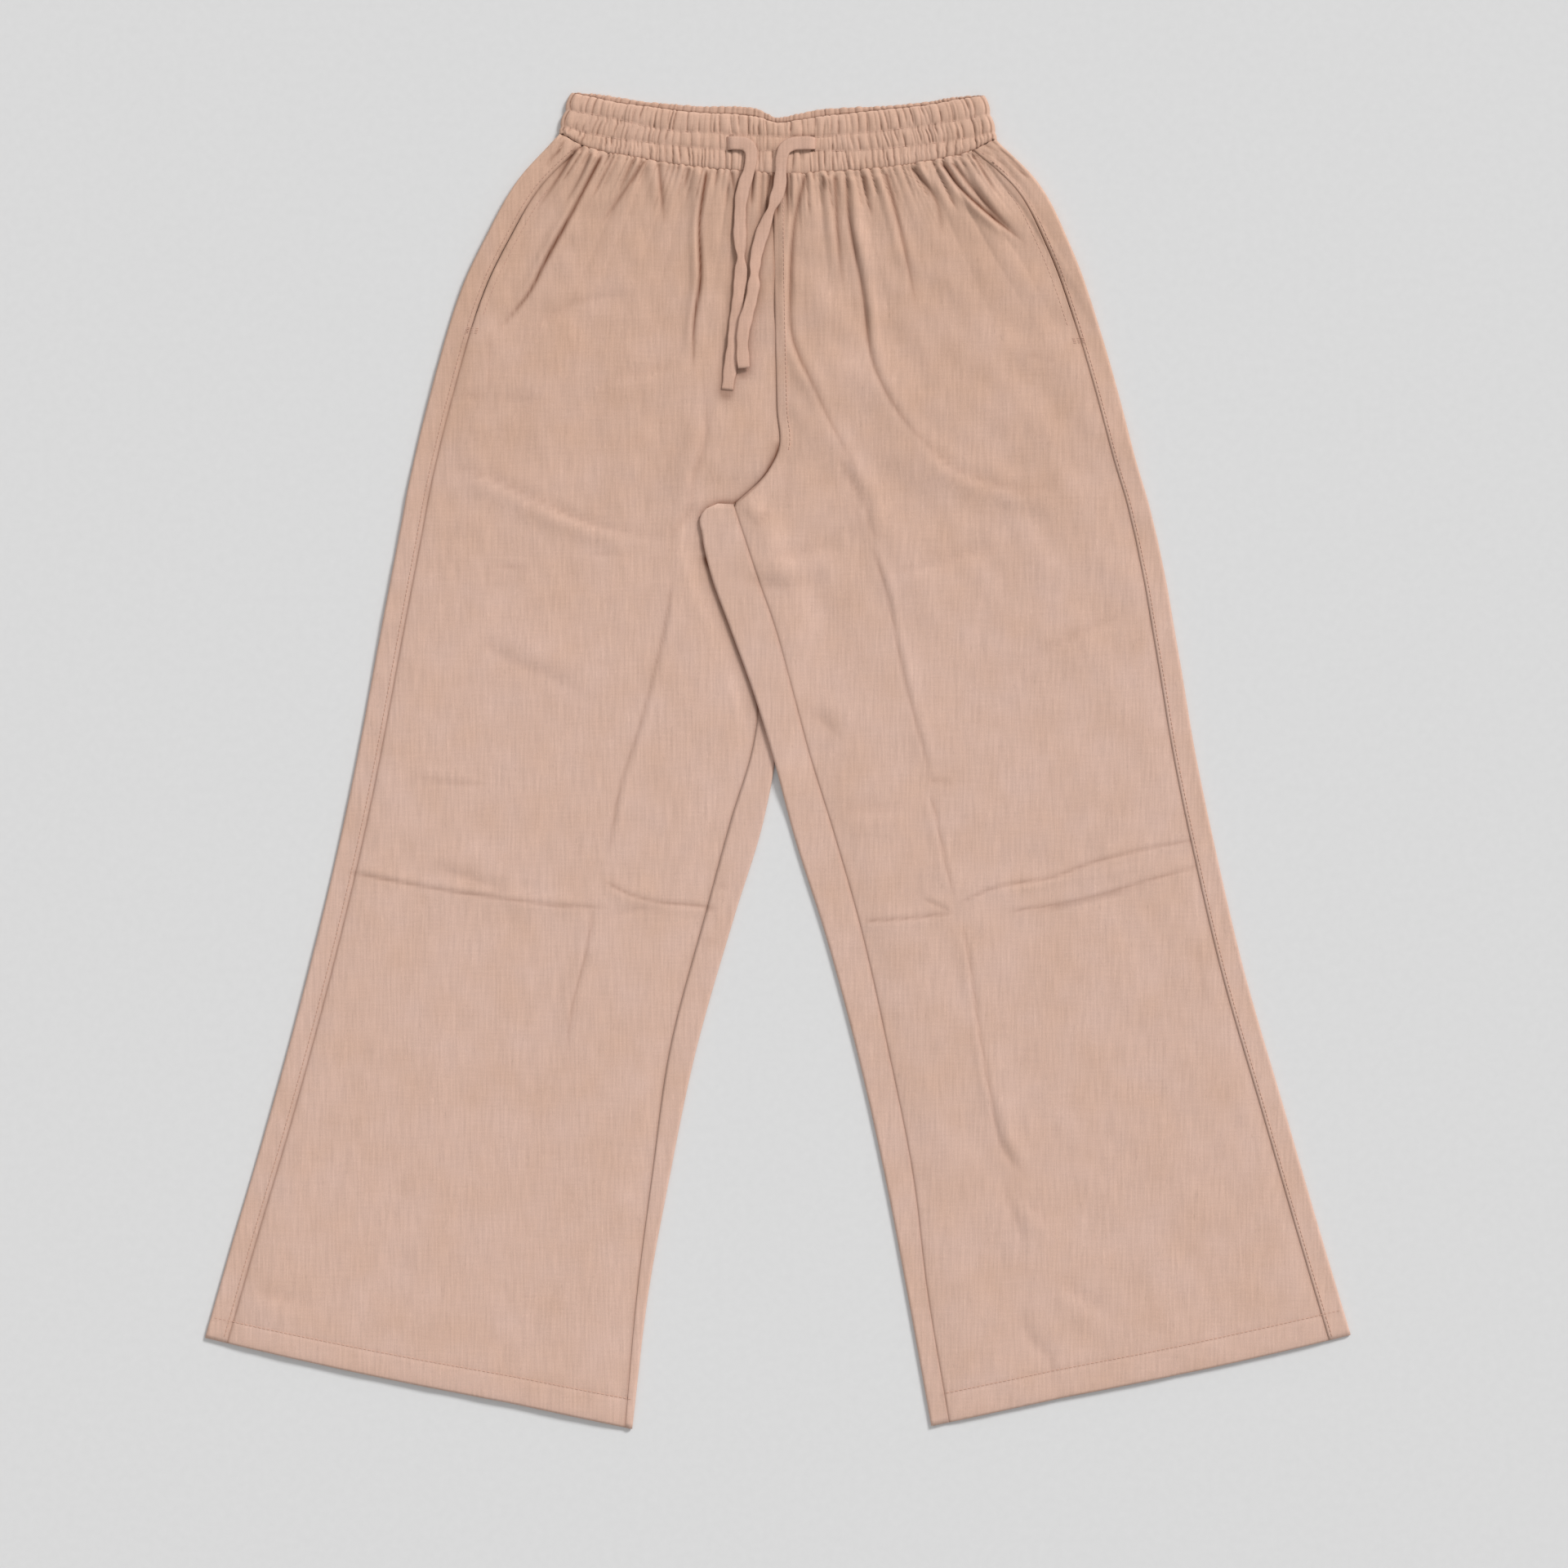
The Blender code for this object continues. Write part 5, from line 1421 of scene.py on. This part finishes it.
@dataclass
class BackPanel:
    """A back panel: flat on the floor, and turned over both folds of its leg."""

    leg: Leg
    name: str

    def path(self, key: np.ndarray, wrap: bool) -> list[tuple[np.ndarray, ...]]:
        """Columns of the panel, from the side seam round to the rise or the inseam.

        Each fold is half an ellipse, FOLD_ROUND wide, whose lowest point is the floor.

        Args:
            key: drops of the inner edge, as a column.
            wrap: whether the panel goes on over the inner fold.

        Returns:
            Away, inset of the inner skin, outer and inner height shares, and the edge
            whose height they scale, one tuple a column group.
        """
        _, _, length = self.leg.ends(key)
        turn = TURN[None, :]
        reach = FOLD_REACH
        ones = np.ones_like(key)
        strip = np.linspace(SIDE_STRIP - SEAM_GAP / 2, reach + 0.6, STRIP_COLUMNS)[None, :] * ones
        groups = [("strip_out", strip, strip)]
        groups.append(("arc_out", (reach - FOLD_ROUND * np.cos(turn)) * ones,
                       (reach - (FOLD_ROUND - THICK) * np.cos(turn)) * ones))
        last = length - SEAM_GAP / 2
        floor = reach + 1.5 + (last - reach - 1.5) * np.linspace(0.0, 1.0, FLOOR_COLUMNS)[None, :]
        groups.append(("floor", floor, floor))
        if wrap:
            width = self.leg.value("strip", key)
            fold = length + width
            groups.append(("arc_in", fold - (reach - FOLD_ROUND * np.cos(-turn)),
                           fold - (reach - (FOLD_ROUND - THICK) * np.cos(-turn))))
            back = fold - reach - 0.6
            top = length + SEAM_GAP / 2
            inward = back + (top - back) * np.linspace(0.0, 1.0, STRIP_COLUMNS)[None, :]
            groups.append(("strip_in", inward, inward))
        return groups

    def skins(self, key: np.ndarray, wrap: bool) -> tuple[np.ndarray, np.ndarray, np.ndarray]:
        """Outer and inner points and shade of the rows of some keys.

        Args:
            key: drops of the inner edge, as a column.
            wrap: whether the panel goes on over the inner fold.

        Returns:
            Outer points, inner points and crease shade, by row and column.
        """
        leg = self.leg
        _, _, length = leg.ends(key)
        turn = TURN[None, :]
        outers, inners, shades = [], [], []
        for kind, away, away_in in self.path(key, wrap):
            x, drop, high, shade = leg.top(np.clip(away, 0.0, None), key)
            x, drop = leg.place(away, key)
            x_in, drop_in = leg.place(away_in, key)
            lift = leg.lift(x, drop)
            body = high - lift
            if kind.startswith("strip"):
                seam = np.abs(away - (SIDE_STRIP if kind == "strip_out" else length))
                if kind == "strip_in":
                    turned = ease((away - length) / np.maximum(leg.value("strip", key), 1.0))
                    body = body + (leg.value("in_high", key) - body) * turned
                    shade = shade * (1.0 - turned)
                body = body - EDGE_DIP * np.exp(-seam / EDGE_WIDTH)
                shade = (shade + SEAM_SHADE * np.exp(-seam / SEAM_LINE)).clip(0.0, 0.95)
                out_z, in_z = body, body - THICK
            elif kind.startswith("arc"):
                body = body if kind == "arc_out" else leg.value("in_high", key) * np.ones_like(away)
                sine = np.sin(turn if kind == "arc_out" else -turn)
                out_z = body / 2 * (1.0 + sine)
                in_z = body / 2 + (body / 2 - THICK) * sine
                shade = np.zeros_like(away)
            else:
                rise = 0.9 * shade.clip(0.0, 0.6) * ease((away - 6.0) / 20.0)
                rise = rise * ease((length - away) / 20.0)
                out_z, in_z = rise, rise + THICK
            outers.append(world(x, drop, out_z + lift))
            inners.append(world(x_in, drop_in, in_z + lift))
            shades.append(shade * np.ones_like(away))
        return np.concatenate(outers, 1), np.concatenate(inners, 1), np.concatenate(shades, 1)

    def build(self) -> bpy.types.Object:
        """Joins the rows above the crotch to the wider ones below it.

        Returns:
            The object.
        """
        start, hem = self.leg.keys[0], self.leg.keys[-1]
        upper = np.linspace(start, CROTCH_DROP, int((CROTCH_DROP - start) / BACK_STEP))[:-1, None]
        lower = np.linspace(CROTCH_DROP, hem, int((hem - CROTCH_DROP) / BACK_STEP))[:, None]
        parts = [list(self.skins(upper, False)), self.skins(lower, True)]
        turn = np.sin(TURN).clip(0.0)
        tucked = np.concatenate((np.ones(STRIP_COLUMNS), turn, np.zeros(FLOOR_COLUMNS)))
        shift = np.zeros((1, len(tucked), 3))
        shift[0, :, 1] = (SEAM_GAP / 2 + (UNDERLAP - SEAM_GAP / 2) * tucked) * MM
        shift[0, :, 2] = -UNDERLAP_SINK * tucked * MM
        parts[0] = [np.concatenate((parts[0][k][:1] + (shift if k < 2 else 0.0), parts[0][k]))
                    for k in range(3)]
        upper = np.concatenate((upper[:1], upper))
        narrow, wide = parts[0][0].shape[1], parts[1][0].shape[1]
        above = np.arange(len(upper) * narrow).reshape(len(upper), narrow)
        below = above.size + np.arange(len(lower) * wide).reshape(len(lower), wide)
        joined = grid_faces(np.concatenate((above, below[:1, :narrow])))
        faces = np.concatenate((joined, grid_faces(below)))
        outer, inner, shade = (
            np.concatenate([part[k].reshape(-1, *part[k].shape[2:]) for part in parts])
            for k in range(3))
        return close_shell(self.name, outer, inner, faces, shade, flipped=self.leg.side < 0)


@dataclass
class Waistband:
    """The gathered elastic waistband, a flattened tube in three channels."""

    name: str = "waistband_linen"

    @staticmethod
    def half(share: np.ndarray) -> np.ndarray:
        """Half the band's width, puffed out between the stitched rows.

        Args:
            share: of the way from the rim to the waist seam.

        Returns:
            Half widths in mm.
        """
        puff = np.abs(np.sin(np.pi * share * 2.4)) ** 0.7 * (1.0 - ease((share - 0.84) / 0.16))
        return BAND_HALF_RIM + (BAND_HALF_SEAM - BAND_HALF_RIM) * share + BAND_BULGE * puff

    @staticmethod
    def front_high(x: np.ndarray, drop: np.ndarray) -> tuple[np.ndarray, np.ndarray]:
        """Height of the front's outer face.

        Each channel puffs up as the sine of the way between its stitched rows, and
        gathers run across it, finer in the lowest channel.

        Args:
            x: places along the waist seam.
            drop: places down.

        Returns:
            Height in mm and the share of painted shade, down in the gathers and in the cord slots.
        """
        rows = [waist(name, x) for name in ("front_rim", "upper_stitch", "lower_stitch", "seam")]
        both = ripple(x, SHARED_GATHER, BAND_SPAN, SHARED_SEED)
        high = np.full(x.shape, BAND_BASE)
        lip = BAND_LIP * np.clip((drop - rows[2]) / (rows[3] - rows[2]), 0.0, 1.0)
        low = np.zeros(x.shape)
        for channel, spacing in enumerate(CHANNEL_GATHERS):
            seed = CHANNEL_SEED + channel
            across = (drop - rows[channel]) / (rows[channel + 1] - rows[channel])
            inside = (across >= 0.0) & (across <= 1.0 + 0.3 * (channel == 2))
            puff = np.sin(np.pi * np.clip(across, 0.0, 1.0)) ** 0.6
            slant = x + (1.6 * np.sin(x / 23.0 + channel) + 0.9 * np.sin(x / 5.0)) * (across - 0.5)
            gathers = 0.6 * ripple(slant, spacing, BAND_SPAN, seed) + 0.4 * both
            notch, thin = (gather_lines(slant, across, spacing, BAND_SPAN, seed, width, True)
                           for width in (0.9, 0.42))
            shared = gather_lines(x, across, SHARED_GATHER, BAND_SPAN, SHARED_SEED, 0.4, True)
            thin = np.maximum(thin, 0.8 * shared)
            flat = np.ones(x.shape)
            if channel == 1:
                near = np.minimum.reduce([
                    np.maximum(np.abs(x - 0.5 * (a + b)) - 0.5 * abs(a - b), 0.0)
                    for a, b in CORD_FLATS])
                flat = 0.25 + 0.75 * ease(near / FLAT_UNDER_CORD)
            part = BAND_PUFF * puff + BAND_GATHER * (gathers - 0.3) * (0.35 + 0.65 * puff) * flat
            part = part - BAND_NOTCH * notch * flat
            high = np.where(inside, BAND_BASE + lip + part, high)
            # Painted shade down in the gathers' valleys, and a little along the stitched rows
            deep = (0.3 - gathers).clip(0.0) * 0.55 + 0.72 * thin
            low = np.where(inside, deep * flat + 0.09 * (1.0 - puff), low)
        for place in SLOT_X:
            slot = np.maximum(np.abs(x - place) / SLOT_HALF[0],
                              np.abs(drop - SLOT_DROP) / SLOT_HALF[1])
            cut = 1.0 - ease((slot - 0.7) / 0.6)
            high = high - SLOT_DEEP * cut
            # Painted shade in the cord slot
            low = np.maximum(low, 0.9 * cut)
        return high, low

    def build(self) -> bpy.types.Object:
        """Runs the tube round front, right fold, back and left fold.

        Returns:
            The object.
        """
        turn = TURN[1:-1]
        front = np.linspace(-1.0, 1.0, BAND_FRONT_COLUMNS)
        back = np.linspace(1.0, -1.0, BAND_BACK_COLUMNS)
        share = np.linspace(0.0, 1.0, BAND_ROWS)[:, None]
        middle = self.half(share) - BAND_REACH
        lip = BAND_BASE + BAND_LIP * ease((share - 0.6) / 0.4)
        seam_x = front[None, :] * BAND_HALF_SEAM + 0.0 * share
        rim, low_rim = waist("front_rim", seam_x), waist("seam", seam_x)
        drop = rim + (low_rim - rim) * share
        low_wave, high_wave = (
            ripple(seam_x, CHANNEL_GATHERS[channel], BAND_SPAN, CHANNEL_SEED + channel) - 0.35
            for channel in (2, 0))
        drop = drop + BAND_SCALLOP * low_wave * share ** 12
        drop = drop - 0.8 * BAND_SCALLOP * high_wave * (1.0 - share) ** 12
        high, shade = self.front_high(seam_x, drop)
        ends = ease((1.0 - np.abs(front[None, :])) / BAND_END)
        high = lip + (high - lip) * ends
        rim_dip = 0.5 * np.exp(-(drop - rim) / 1.2) + 0.35 * np.exp(-(low_rim - drop) / 1.0)
        inner = BAND_INSIDE + (BAND_BASE - 0.4 - BAND_INSIDE) * ease((share - 0.88) / 0.1) * ends
        front_x, back_x = front[None, :] * middle, back[None, :] * middle
        seam_x = back[None, :] * BAND_HALF_SEAM + 0.0 * share
        rim = waist("back_rim", seam_x)
        back_drop = rim + (waist("seam", seam_x) - rim) * share
        ends = ease((1.0 - np.abs(back[None, :])) / BAND_END)
        wave = ripple(seam_x, BACK_GATHER, BAND_SPAN, BACK_SEED)
        back_drop = back_drop - 0.9 * BAND_SCALLOP * (wave - 0.4) * ends * (1.0 - share) ** 14
        inside = BAND_WALL + 1.5 * wave * ends * np.exp(-share * 6.0)
        # Painted shade in the crevice where the back rim meets the front rim, and down the back's
        # gathers
        hollow = ease((back_drop - waist("front_rim", seam_x) + 2.0) / 2.0)
        lines = gather_lines(seam_x, share, BACK_GATHER, BAND_SPAN, BACK_SEED, 0.5)
        back_shade = 0.5 * (0.34 - wave).clip(0.0) + 0.6 * lines + 0.8 * hollow
        under = 0.35 * ripple(seam_x, UNDER_GATHER, BAND_SPAN, UNDER_SEED) * ends
        folds = []
        for side in (1.0, -1.0):
            angle = turn if side > 0 else turn[::-1]
            angle = angle[None, :] + 0.0 * share
            seam_side = np.full_like(angle, side * BAND_HALF_SEAM)
            first = np.where(angle < 0.0, waist("back_rim", seam_side),
                             waist("front_rim", seam_side))
            fold_drop = first + (waist("seam", seam_side) - first) * share
            x = side * (middle + BAND_ROUND * np.cos(angle))
            x_in = side * (middle + (BAND_ROUND - BAND_WALL) * np.cos(angle))
            z = lip / 2 * (1.0 + np.sin(angle))
            z_in = (BAND_WALL + BAND_INSIDE) / 2 + (BAND_INSIDE - BAND_WALL) / 2 * np.sin(angle)
            folds.append((x, fold_drop, z, x_in, z_in, 0.0 * x))
        fronts = (front_x, drop, high - rim_dip, front_x, inner + 0.0 * high, shade.clip(0.0, 0.9))
        backs = (back_x, back_drop, under, back_x, inside, back_shade.clip(0.0, 0.95))
        x, drop, z, x_in, z_in, shade = (
            np.concatenate(parts, 1) for parts in zip(fronts, folds[0], backs, folds[1]))
        numbers = np.arange(x.size).reshape(x.shape)
        wrapped = np.concatenate((numbers, numbers[:, :1]), 1)
        return close_shell(self.name, world(x, drop, z), world(x_in, drop, z_in),
                           grid_faces(wrapped), shade, flipped=False)


@dataclass
class Drawstring:
    """One free end of the flat drawstring."""

    route: tuple[tuple[float, float, float], ...]
    twists: tuple[float, ...]
    name: str
    frayed: bool

    def centre(self) -> np.ndarray:
        """Points of the cord's middle, evenly spaced on a smooth curve.

        Returns:
            x, drop and height in mm.
        """
        raw = np.array(self.route)
        reach = reaches(raw)
        at = np.linspace(0.0, reach[-1], int(reach[-1] / CORD_STEP))
        return np.stack([curve(reach, raw[:, k], at) for k in range(3)], axis=1)

    def build(self) -> bpy.types.Object:
        """A flat tube: a rounded rectangle swept along the route.

        The section's width is that of the cord, pinched by a third at each twist, and its
        edges wander by up to half a millimetre. The far end closes square or frayed.

        Returns:
            The object.
        """
        path = self.centre()
        spots = np.stack((path[:, 0], WAIST_Y - path[:, 1], path[:, 2]), axis=1)
        along = np.gradient(spots, axis=0)
        along /= np.linalg.norm(along, axis=1)[:, None]
        side = np.cross(along, (0.0, 0.0, 1.0))
        side /= np.linalg.norm(side, axis=1)[:, None]
        up = np.cross(side, along)
        angle = np.linspace(0.0, 2 * np.pi, CORD_SIDES, endpoint=False)
        flat_x = np.sign(np.cos(angle)) * np.abs(np.cos(angle)) ** 0.45
        flat_z = np.sign(np.sin(angle)) * np.abs(np.sin(angle)) ** 0.75
        pinch = np.ones(len(path))
        tilt = np.zeros(len(path))
        for drop in self.twists:
            bell = np.exp(-((path[:, 1] - drop) / 6.0) ** 2)
            pinch -= 0.34 * bell
            tilt += 0.32 * bell
        wander = 0.32 * np.sin(path[:, 1] / 5.3) + 0.16 * np.sin(path[:, 1] / 2.1 + 1.0)
        tilt += 0.07 * np.sin(path[:, 1] / 7.1 + path[0, 0])
        half = (CORD_WIDTH / 2 + wander) * pinch
        ends = np.minimum(np.arange(len(path)), np.arange(len(path))[::-1]) * CORD_STEP
        thick = CORD_THICK / 2 * (0.45 + 0.55 * ease(ends / 2.5))
        if self.frayed:
            half = half * (1.0 - 0.10 * (1.0 - ease(ends / 6.0)))
        groove = 1.0 - 0.16 * np.exp(-(flat_x / 0.3) ** 2)
        across = half[:, None] * flat_x
        rise = thick[:, None] * flat_z * groove + across * tilt[:, None]
        ring = spots[:, None, :] + side[:, None, :] * across[..., None]
        ring = ring + up[:, None, :] * rise[..., None]
        numbers = np.arange(ring.shape[0] * CORD_SIDES).reshape(-1, CORD_SIDES)
        faces = grid_faces(np.concatenate((numbers, numbers[:, :1]), 1))
        half_ring = CORD_SIDES // 2
        steps = np.arange(half_ring - 1)
        spans = np.stack((steps, steps + 1, CORD_SIDES - 2 - steps, CORD_SIDES - 1 - steps), 1)
        caps = np.concatenate((numbers[0][spans], numbers[-1][spans]))
        caps[half_ring - 1:] = caps[half_ring - 1:, ::-1]
        faces = np.concatenate((faces, caps))
        # Darker along both edges: the cord's edge seams, partly painted shade; painted shade also in
        # each twist
        edge_seam_and_shade = np.broadcast_to(0.22 * (np.abs(flat_x) > 0.93), numbers.shape)
        shade = edge_seam_and_shade + 0.25 * (1.0 - pinch)[:, None]
        return make_object(self.name, (ring * MM).reshape(-1, 3), faces, shade.ravel())


class Stitching:
    """Rows of topstitching, gathered into one mesh."""

    def __init__(self) -> None:
        self.lines: list[np.ndarray] = []

    def add(self, points: np.ndarray) -> None:
        """Adds a line of stitches.

        Args:
            points: the line in mm, as x, y and height.
        """
        self.lines.append(points)

    def build(self, name: str) -> bpy.types.Object:
        """Sets a short spindle of thread at every pitch of every line.

        A spindle has four rings of five points, narrow at both ends.

        Args:
            name: of the object.

        Returns:
            The object.
        """
        middles, ways = [], []
        for line in self.lines:
            reach = reaches(line)
            at = np.arange(STITCH_PITCH / 2, reach[-1], STITCH_PITCH)
            spot, ahead, behind = (
                np.stack([np.interp(at + probe, reach, line[:, k]) for k in range(3)], axis=1)
                for probe in (0.0, STITCH_PROBE, -STITCH_PROBE))
            way = ahead - behind
            middles.append(spot)
            ways.append(way / np.linalg.norm(way, axis=1)[:, None])
        middle, way = np.concatenate(middles), np.concatenate(ways)
        side = np.cross(way, (0.0, 0.0, 1.0))
        side /= np.linalg.norm(side, axis=1)[:, None]
        up = np.cross(side, way)
        angle = np.linspace(0.0, 2 * np.pi, STITCH_SIDES, endpoint=False)
        offset = np.array((-0.5, -0.3, 0.3, 0.5)) * STITCH
        radius = np.array((0.35, 1.0, 1.0, 0.35)) * THREAD
        ring = (middle[:, None, None, :] + way[:, None, None, :] * offset[None, :, None, None]
                + side[:, None, None, :] * (radius[:, None] * np.cos(angle))[None, :, :, None]
                + up[:, None, None, :] * (radius[:, None] * np.sin(angle))[None, :, :, None])
        base = np.arange(len(offset) * STITCH_SIDES).reshape(len(offset), STITCH_SIDES)
        body = grid_faces(np.concatenate((base, base[:, :1]), 1))
        first = (base.size * np.arange(len(middle)))[:, None]
        faces = (body[None] + first[..., None]).reshape(-1, 4).tolist()
        starts = first + base[0][None, :]
        finals = first + base[-1][None, ::-1]
        faces += starts.tolist() + finals.tolist()
        mesh = bpy.data.meshes.new(name)
        mesh.from_pydata(ring.reshape(-1, 3) * MM, [], faces)
        mesh.update()
        made = bpy.data.objects.new(name, mesh)
        bpy.context.scene.collection.objects.link(made)
        return made


def seam_stitches(leg: Leg) -> Stitching:
    """Topstitching of one leg: side seam, hem, and on the left leg the rise.

    Args:
        leg: whose cloth carries it.

    Returns:
        The stitch lines.
    """
    rows = Stitching()
    start, hem = leg.keys[0], leg.keys[-1]

    def line(away: np.ndarray, key: np.ndarray) -> None:
        x, drop, high, _ = leg.top(away, key)
        rows.add(np.stack((x, WAIST_Y - drop, high + STITCH_RISE), axis=1))

    key = np.linspace(start + 3.0, hem - 3.0, 500)
    line(np.full(500, SIDE_STRIP - SEAM_STITCH_IN), key)
    key = np.linspace(start + FACING_ROWS[0], FACING_ROWS[1], 90)
    line(np.full(90, SIDE_STRIP + FACING_STITCH), key)
    key = np.full(220, hem - HEM_DEPTH)
    line(np.linspace(2.0, float(leg.ends(hem)[2]) - 2.0, 220), key)
    if leg.side > 0:
        key = np.linspace(start + 2.0, RISE_STITCH_END, 150)
        line(leg.ends(key)[2] - FELL_WIDTH + 0.8, key)
    for pitch in range(4):
        key = np.full(6, BARTACK_KEY + BARTACK_PITCH * pitch)
        line(np.linspace(SIDE_STRIP - 4.0, SIDE_STRIP + FACING_STITCH, 6), key)
    return rows


def band_stitches() -> Stitching:
    """The waistband's two stitched rows, across its front.

    Returns:
        The stitch lines.
    """
    rows = Stitching()
    for name in ("upper_stitch", "lower_stitch"):
        x = np.linspace(-160.0, 160.0, 500)
        drop = waist(name, x)
        high, _ = Waistband.front_high(x, drop)
        clear = np.minimum(np.abs(x + 29.0), np.abs(x - 15.0)) > 13.5
        rim = waist("front_rim", x)
        share = (drop - rim) / (waist("seam", x) - rim)
        placed = x / BAND_HALF_SEAM * (Waistband.half(share) - BAND_REACH)
        points = np.stack((placed, WAIST_Y - drop, high + 0.1), axis=1)
        keep = clear | (name == "upper_stitch")
        breaks = np.flatnonzero(np.diff(keep.astype(int))) + 1
        for run in np.split(np.arange(len(x)), breaks):
            if keep[run[0]]:
                rows.add(points[run])
    return rows


class Studio:
    """Pale floor, soft light from the upper right, camera straight down."""

    def build(self, cloth: Cloth) -> None:
        """Sets the studio up.

        Args:
            cloth: maker of materials.
        """
        corners = np.array([(-1, -1, 0), (1, -1, 0), (1, 1, 0), (-1, 1, 0)], float) * FLOOR_HALF
        floor = make_object("floor", corners, np.array([[0, 1, 2, 3]]))
        floor.data.materials.append(cloth.plain(Finish.FLOOR, FLOOR_TINT, 6.0))
        camera = bpy.data.cameras.new("camera")
        camera.lens = LENS
        camera.sensor_width = SENSOR
        camera.clip_end = 50.0
        holder = bpy.data.objects.new("camera", camera)
        holder.location = (LOOK_AT[0] * MM, LOOK_AT[1] * MM, FRAME_WIDTH * LENS / SENSOR * MM)
        bpy.context.scene.collection.objects.link(holder)
        bpy.context.scene.camera = holder
        self.sun("key", *KEY_LIGHT)
        self.sun("fill", *FILL_LIGHT)
        sky = bpy.data.worlds.new("studio")
        sky.use_nodes = True
        back = sky.node_tree.nodes["Background"]
        back.inputs["Color"].default_value = (1.0, 1.0, 1.0, 1.0)
        back.inputs["Strength"].default_value = SKY_STRENGTH
        bpy.context.scene.world = sky
        bpy.context.scene.view_settings.view_transform = "Standard"

    @staticmethod
    def sun(name: str, source: tuple[float, float, float], strength: float, angle: float) -> None:
        """Adds a distant soft light.

        Args:
            name: of the light.
            source: direction that it comes from.
            strength: in watts a square metre.
            angle: its width in degrees.
        """
        light = bpy.data.lights.new(name, "SUN")
        light.energy = strength
        light.angle = np.radians(angle)
        made = bpy.data.objects.new(name, light)
        made.rotation_euler = Vector(source).to_track_quat("Z", "Y").to_euler()
        bpy.context.scene.collection.objects.link(made)


def main() -> None:
    """Builds every piece in order."""
    logging.basicConfig(level=logging.INFO)
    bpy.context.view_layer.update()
    cloth = Cloth()
    Studio().build(cloth)
    linen = cloth.linen(Finish.PANEL, PANEL_LINEN)
    cord_linen = cloth.linen(Finish.CORD, CORD_LINEN)
    thread = cloth.plain(Finish.THREAD, "C9A390", 1.0)
    for side, route, twists in (("right", RIGHT_CORD, RIGHT_TWISTS),
                                ("left", LEFT_CORD, LEFT_TWISTS)):
        cord = Drawstring(route, twists, f"drawstring_{side}_linen", side == "left")
        made = Piece(cord.build(), "linen_cord", (f"drawstring_{side}",)).dress(cord_linen)
        LOG.info("%s made", made.name)
    for side, leg in (("right", RIGHT), ("left", LEFT)):
        back, front = (
            Piece(panel(leg, f"{part}_{side}_linen").build(), "linen",
                  (f"{part}_{side}",)).dress(linen)
            for panel, part in ((BackPanel, "back"), (FrontPanel, "front")))
        sewing = Piece(seam_stitches(leg).build(f"topstitch_{side}"), "linen").dress(thread)
        bag = frame["nodes"][f"pocket_bag_{side}"]
        bag.data.materials.clear()
        bag.data.materials.append(linen)
        LOG.info("%s, %s and %s made", back.name, front.name, bag.name)
    band_linen = cloth.linen(Finish.BAND, BAND_LINEN)
    band = Piece(Waistband().build(), "linen_band", ("waistband",)).dress(band_linen)
    sewing = Piece(band_stitches().build("topstitch_band"), "linen_band").dress(thread)


if __name__ == "__main__":
    main()
